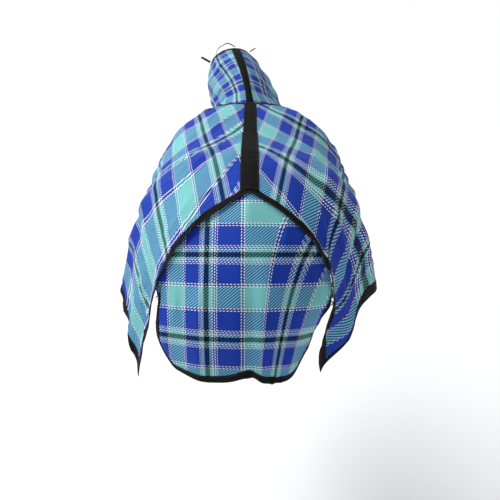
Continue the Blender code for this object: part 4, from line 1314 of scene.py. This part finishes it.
def throat_strap(number, place):
    """A band over the throat gap, laid on the neck's smooth shape from one side round to the other."""
    a = np.concatenate([np.linspace(THROAT_REACH, 1, 30), -np.linspace(1, THROAT_REACH, 30)[1:]])
    outer = np.stack([np.full(len(a), place - THROAT_HALF), a], 1)
    inner = np.stack([np.full(len(a), place + THROAT_HALF), a], 1)
    grid = carried(lambda s, b, lift: pushed(neck_point, s, b, lift + 0 * s), outer, inner,
                   flat_profile(0.0092, 0.0068))
    obj = grid_mesh("throat_strap_web_%d" % number, grid, WEBBING_CLOTH, band_layers(grid), around=True)
    return neck_piece(obj, "strap_webbing", ["throat_strap_%d" % number])


def mask_tab(side, along_s, along_a, shift, direction, across, length, width):
    """A straight tab that stands out from the poll, sewn on both faces."""
    start = neck_point(np.array(along_s), np.array(along_a)) + np.array(shift)
    path = start + unit(np.array(direction)) * np.linspace(0, length, 16)[:, None]
    obj = webbing(side + "_tab_web", path, across, width, 0.003)
    finish_piece(obj, "neck_cover", "strap_webbing", [side + "_mask_tab"])
    for face in (0.0018, -0.0018):
        stitch_box("neck_cover", path, across, width, face, 0.004, length - 0.008)


def poll_loop():
    """A narrow band that rises from the crest, crosses to the left and drops."""
    crest = neck_point(np.array(0.995), np.array(0.0)) + np.array([0.0, 0.012, 0.008])
    path = rounded_path([crest, crest + np.array([-0.045, 0.012, 0.022]),
                         crest + np.array([-0.105, 0.02, -0.012]),
                         crest + np.array([-0.118, 0.016, -0.052])], 0.02, 12)
    obj = webbing("poll_loop_web", path, (0, 1, 0.1), 0.018, 0.0025)
    finish_piece(obj, "neck_cover", "strap_webbing", ["poll_loop_strap"])
    print("poll loop", round(float(walked_along(path)[-1]), 3), "m long")


for number, place in enumerate((0.22, 0.52, 0.84), start=1):
    throat_strap(number, place)
mask_tab("left", 0.985, -0.42, (-0.008, 0.004, 0.006), (-0.55, 0.1, 0.28), (0.1, 1, 0.2), 0.062, 0.028)
mask_tab("right", 0.985, 0.22, (0.008, 0.004, 0.008), (0.62, 0.1, 0.35), (0.1, 1, 0.1), 0.040, 0.024)
poll_loop()

# %% [markdown]
# ## Chest buckles
# Each chest strap runs behind a wire frame, through it and back over, and a tongue drops through
# its hole.  The tongue turns on the frame's near bar, so it is a piece of its own.

# %% Chest closure
CHEST_ROWS = {"upper": -0.50, "lower": -0.63}
BAR_X, TONGUE_R = 0.016, 0.0012
STEP_BEHIND, STEP_FRONT, FRAME_PROUD = 0.0056, 0.0162, 0.0096    # how far each stands off the chest


def chest_line(x, z, proud):
    """Points just in front of the chest at a height, for x positions."""
    x = np.asarray(x, float)
    y = CHEST_Y + CHEST_RUN * (1 - (np.abs(x) / 0.50) ** 2.2) ** (1 / 2.6)
    return np.stack([x, y + proud, np.full(x.shape, z)], -1)


def chest_set(name, z):
    """Strap behind and then over the frame, the frame, a tab folded round its near bar, the tongue."""
    x = np.array([0.15, 0.11, 0.07, 0.04, 0.019, -0.013, -0.022, -0.05, -0.08, -0.10])
    proud = np.array([STEP_BEHIND] * 5 + [STEP_FRONT] * 5)
    path = fine_path(chest_line(x, z, proud), 0.003)
    obj = webbing("chest_%s_web" % name, path, UP, WEBBING)
    finish_piece(obj, "root", "strap_webbing", ["chest_%s_strap" % name])
    stitch_box("root", path, UP, WEBBING, 0.0013, 0.004, 0.03)
    centre = chest_line(np.array(0.0), z, FRAME_PROUD)
    frame_path = loop_frame(centre, ACROSS, UP, BAR_X, 0.0175)
    obj = wire("chest_%s_frame" % name, frame_path, WIRE_R, True)
    finish_piece(obj, "root", "hardware", ["chest_%s_buckle" % name])
    bar = centre - ACROSS * BAR_X
    wrap = WIRE_R + 0.0004 + WEBBING_T / 2
    back, front = -np.array([0, wrap, 0]), np.array([0, wrap, 0])
    end = bar - ACROSS * 0.075
    turn = [bar + np.array([wrap * math.sin(t), wrap * math.cos(t), 0])
            for t in np.linspace(0, math.pi, 13)]
    path = np.array([bar + front * 0.55 - ACROSS * 0.028, bar + front - ACROSS * 0.010] + turn
                    + [bar + back - ACROSS * 0.012, end + back * 1.9])
    obj = webbing("chest_%s_tab_web" % name, path, UP, WEBBING)
    finish_piece(obj, "root", "strap_webbing", ["chest_%s_buckle_tab" % name])
    tip = centre + ACROSS * (BAR_X + 0.0035) + np.array([0, WIRE_R + 0.0016, 0])
    root = bar + ACROSS * (WIRE_R + 0.0016)
    t = np.linspace(0, 1, 14)[:, None]
    path = root + (tip - root) * t + np.array([0, 0.0016, 0]) * t * (1 - t)
    radius = TONGUE_R * np.where(t[:, 0] > 0.9, 0.8, 1.0)
    obj = wire("chest_%s_tongue_pin" % name, path, radius)
    finish_piece(obj, name + "_tongue", "hardware", ["chest_%s_tongue" % name])


for name, z in CHEST_ROWS.items():
    chest_set(name, z)
print("chest straps at heights", list(CHEST_ROWS.values()))

# %% [markdown]
# ## Belly straps
# Two wide straps pass under the belly.  A flat bent hook on the left one slips into a slotted
# frame on the right one, and a sliding frame takes up the slack.

# %% Belly closure
BELLY_ROWS = {"front": -0.02, "rear": -0.34}
BELLY_END_GIRTH, BELLY_LOW_Z, BELLY_FLAT_X, BELLY_WIDTH = 0.80, -0.86, 0.22, 0.038
HOOK_X, SLIDE_X, HOOK_PLATE = -0.10, 0.10, (0.026, 0.0018)
HOOK_CURVE = np.array([[-0.021, 0, 0.0], [-0.004, 0, 0.0], [0.002, 0, 0.0035], [0.009, 0, 0.0052],
                       [0.0135, 0, 0.002], [0.0145, 0, -0.003], [0.011, 0, -0.006],
                       [0.002, 0, -0.0062]])


def belly_set(name, y):
    """Two straps sewn inside the panels that meet under the belly, with frame, hook plate and slide."""
    for side, side_name in SIDES.items():
        sewn = on_body(np.array(y + side * 0.04), np.array(BELLY_END_GIRTH), side)
        sewn = sewn + np.array([-side * 0.016, 0, -0.004])
        corner = np.array([side * (BELLY_FLAT_X + 0.10), y, BELLY_LOW_Z])
        stop = np.array([HOOK_X + (-0.029 if side < 0 else 0.033), y, BELLY_LOW_Z])
        first = sewn + unit(np.array([-0.25 * side, 0, 1.0])) * 0.05
        path = fine_path(rounded_path([first, sewn + np.array([0, 0, -0.03]), corner, stop], 0.045), 0.008)
        obj = webbing("belly_%s_%s_web" % (name, side_name), path, FORWARD, BELLY_WIDTH)
        finish_piece(obj, "root", "strap_webbing", ["belly_%s_%s_strap" % (name, side_name)])
        for face in (0.0013, -0.0013):
            stitch_box("root", path, FORWARD, BELLY_WIDTH, face, 0.006, 0.034)
    centre = np.array([HOOK_X, y, BELLY_LOW_Z])
    keeper = loop_frame(centre + ACROSS * 0.015, ACROSS, FORWARD, 0.011, 0.022)
    obj = wire("belly_%s_frame" % name, keeper, 0.0019, True)
    finish_piece(obj, "root", "hardware", ["belly_%s_keeper" % name])
    path = fine_path(centre + HOOK_CURVE - np.array([0.002, 0, 0]), 0.0012)
    obj = webbing("belly_%s_hook_plate" % name, path, FORWARD, *HOOK_PLATE, NICKEL)
    finish_piece(obj, "root", "hardware", ["belly_%s_hook" % name])
    slide = loop_frame(np.array([SLIDE_X, y, BELLY_LOW_Z]), FORWARD, UP, 0.0225, 0.0046, 0.002)
    obj = wire("belly_%s_slide_frame" % name, slide, 0.0018, True)
    finish_piece(obj, name + "_slider", "hardware", ["belly_%s_slide" % name])


for name, y in BELLY_ROWS.items():
    belly_set(name, y)
print("belly straps hang to", BELLY_LOW_Z, "m")

# %% [markdown]
# ## Leg straps
# A strap runs from inside each flank, down between the hind legs, and up to a ring by the tail,
# where a swivel snap hook holds it.  Ring, hook, gate, strap and slide all move on their own.

# %% Ring beside the tail
RING_GIRTH, RING_INSET_X, RING_FORWARD = 0.545, 0.022, 0.062     # where its bar hangs
RING_HALF, RING_DROP = 0.0145, 0.022
LEG_WRAP = WIRE_R + 0.0005 + WEBBING_T / 2                       # webbing's middle round a wire


def leg_ring(side, name):
    """A straight bar closed by a squared half circle, hung in a tab folded round the bar.

    The half circle's sine and cosine are raised to the power 0.6, which squares its shoulders.
    """
    out = side * ACROSS
    bar = panel_point(edge_shift(np.array(RING_GIRTH), RING_FORWARD), np.array(RING_GIRTH), side)
    bar = bar + np.array([-side * RING_INSET_X, 0, -0.02])
    t = np.linspace(0, math.pi, 41)[1:-1]
    sway = np.sign(np.cos(t)) * np.abs(np.cos(t)) ** 0.6
    arc = bar - FORWARD * (RING_HALF * sway)[:, None] - UP * (RING_DROP * np.sin(t) ** 0.6)[:, None]
    straight = [bar + FORWARD * RING_HALF * share for share in (1, 0.5, 0, -0.5)]
    obj = wire(name + "_ring_wire", np.concatenate([straight, arc]), WIRE_R, True)
    finish_piece(obj, name + "_ring", "hardware", [name + "_leg_ring"])
    turn = [bar + out * LEG_WRAP * math.cos(a) - UP * LEG_WRAP * math.sin(a)
            for a in np.linspace(0, math.pi, 13)]
    path = np.array([bar + out * (LEG_WRAP + 0.002) + UP * 0.045, bar + out * LEG_WRAP + UP * 0.006]
                    + turn + [bar - out * LEG_WRAP + UP * 0.006, bar - out * LEG_WRAP + UP * 0.030])
    obj = webbing(name + "_ring_tab_web", path, FORWARD, 0.020)
    finish_piece(obj, "root", "strap_webbing", [name + "_leg_ring_tab"])
    return bar - UP * RING_DROP


print("rings hang", RING_GIRTH, "m down from the spine")

# %% Snap hook
SNAP_DROP, GATE_R = 0.034, 0.0013      # ring to the end of the barrel, and the gate's wire


def leg_snap(name, centre, down, away):
    """A thick barrel that runs into a hook of wire, and a straight gate across the hook's mouth."""
    arc = np.radians(np.linspace(-58, 150, 30))
    shank = [centre + down * d for d in (SNAP_DROP, 0.0335, 0.030, 0.0185, 0.0175, 0.0170)]
    curve = [centre + HOOK_R * (math.cos(a) * away - math.sin(a) * down) for a in arc]
    radii = np.full(len(shank) + len(arc), HOOK_WIRE)
    radii[:5] = BARREL_R * np.array([0.8, 1, 1, 1, 0.8])
    radii[-1] = HOOK_WIRE * 0.7
    obj = wire(name + "_snap_body", np.concatenate([shank, curve]), radii, sides=14)
    finish_piece(obj, name + "_snap", "hardware", [name + "_leg_snap_hook"])
    base = centre + away * -0.0068 + down * 0.0098
    tip = centre + HOOK_R * (math.cos(arc[-1]) * away - math.sin(arc[-1]) * down)
    top = tip - unit(tip - base) * (HOOK_WIRE + 0.0012)
    gate = base + (top - base) * np.linspace(0, 1, 8)[:, None]
    obj = wire(name + "_snap_gate_bar", gate, GATE_R, sides=10)
    finish_piece(obj, name + "_gate", "hardware", [name + "_leg_snap_gate"])


print("snap", round(SNAP_DROP + HOOK_R, 4), "m from end to end")

# %% Strap between the legs
STRAP_RUN, EYE_HALF, EYE_WIDE = 0.11, 0.0045, 0.0155
LEG_SEWN_Y, LEG_SEWN_GIRTH = -0.84, 0.74         # where the strap is sewn inside the flank


def leg_strap(side, name, centre, down, away):
    """Wire eye, the webbing folded through it and carried down and forward, and the slide on it."""
    eye_mid = centre + down * (SNAP_DROP + 0.0005 + WIRE_R + EYE_HALF)
    eye = loop_frame(eye_mid, down, FORWARD, EYE_HALF, EYE_WIDE)
    obj = wire(name + "_strap_eye_wire", eye, WIRE_R, True)
    finish_piece(obj, name + "_leg", "hardware", [name + "_leg_strap_eye"])
    bar = eye_mid + down * EYE_HALF
    turn = [bar + LEG_WRAP * (math.cos(a) * away - math.sin(a) * down)
            for a in np.linspace(0, math.pi, 13)]
    start = bar - away * LEG_WRAP
    knee = start + down * STRAP_RUN
    sewn = on_body(np.array(LEG_SEWN_Y), np.array(LEG_SEWN_GIRTH), side)
    sewn = sewn + np.array([-side * 0.036, 0, 0.0])
    low = np.array([side * 0.115, -0.96, -0.90])
    run = rounded_path([start + down * 0.004, knee + down * 0.02, low, sewn + np.array([0, 0, -0.03]),
                        sewn + np.array([-side * 0.008, 0, 0.03])], 0.028)
    tail = bar + away * LEG_WRAP
    path = np.concatenate([[tail + down * 0.034, tail + down * 0.004], turn, fine_path(run, 0.006)])
    obj = webbing(name + "_leg_strap_web", path, FORWARD, WEBBING)
    finish_piece(obj, name + "_leg", "strap_webbing", [name + "_leg_strap"])
    slide = loop_frame(start + down * 0.055, FORWARD, away, 0.0160, 0.0048, 0.002)
    obj = wire(name + "_leg_slide_frame", slide, 0.0017, True)
    finish_piece(obj, name + "_slider", "hardware", [name + "_leg_slide"])
    print(name, "leg strap", round(float(walked_along(path)[-1]), 3), "m long")


for side, name in SIDES.items():
    centre = leg_ring(side, name)
    down = unit(np.array([-side * 0.62, 0.0, -0.78]))            # the way the snap hangs
    away = np.array([-down[2], 0, down[0]])
    leg_snap(name, centre, down, away)
    leg_strap(side, name, centre, down, away)

# %% [markdown]
# ## Stitches
# Sewing shows as rows of short raised dashes.  There are thousands, so each is a tiny six-sided
# grain of thread, and all the stitches that move together are one mesh.

# %% Sewing
STITCH_LONG, STITCH_STEP, STITCH_R = 0.0034, 0.0050, 0.00042


def stitch_grains(points, normals):
    """Grains along one row: even steps of arc length, each a short capsule lying along the row."""
    walked = walked_along(points)
    count = int(walked[-1] / STITCH_STEP)
    if count < 1:
        return np.zeros((0, 24, 3))
    middle = (np.arange(count) + 0.5) * walked[-1] / count
    where = between(middle, walked, points)
    tangent = unit(between(middle + 0.001, walked, points) - between(middle - 0.001, walked, points))
    face = between(middle, walked, normals)
    face = unit(face - tangent * (face * tangent).sum(-1, keepdims=True))
    side = np.cross(tangent, face)
    ring = np.arange(6) * math.pi / 3
    length = np.repeat([-0.5, -0.36, 0.36, 0.5], 6) * STITCH_LONG
    radius = np.repeat([0.45, 1.0, 1.0, 0.45], 6) * STITCH_R
    one, two = np.tile(np.cos(ring), 4) * radius, np.tile(np.sin(ring), 4) * radius
    return (where[:, None] + tangent[:, None] * length[:, None] + face[:, None] * one[:, None]
            + side[:, None] * two[:, None])


def stitch_mesh(name, rows):
    """All the grains of one body in one mesh: three bands of six sides each, and two ends."""
    grains = np.concatenate([stitch_grains(p, n) for p, n in rows])
    k = np.arange(6)
    after = (k + 1) % 6
    quads = np.concatenate([np.stack([r + k, r + after, r + 6 + after, r + 6 + k], 1)
                            for r in (0, 6, 12)])
    quads = (np.arange(len(grains))[:, None, None] * 24 + quads[None]).reshape(-1, 4).tolist()
    starts = np.arange(len(grains))[:, None] * 24
    ends = np.concatenate([starts + k[::-1], starts + 18 + k]).tolist()
    mesh = bpy.data.meshes.new(name)
    mesh.from_pydata(grains.reshape(-1, 3).tolist(), [], quads + ends)
    face_outwards(mesh)
    print(name, len(grains), "stitches")
    return add_piece(mesh, THREAD)


finish_piece(stitch_mesh("body_stitching", seams["root"]), "root", "binding")
finish_piece(stitch_mesh("tail_stitching", seams["tail"]), "root", "binding", (),
             "tail_skirt", FLAP_START, FLAP_END)
neck_piece(stitch_mesh("neck_stitching", seams["neck"]), "binding")
finish_piece(stitch_mesh("tab_stitching", seams["neck_cover"]), "neck_cover", "binding")

# %% [markdown]
# ## The cloth sheets
# Each cut is a shaped piece, so its area is less than its rectangle.

print("sheets", len(panels) + len(neck_cloths) + 1)
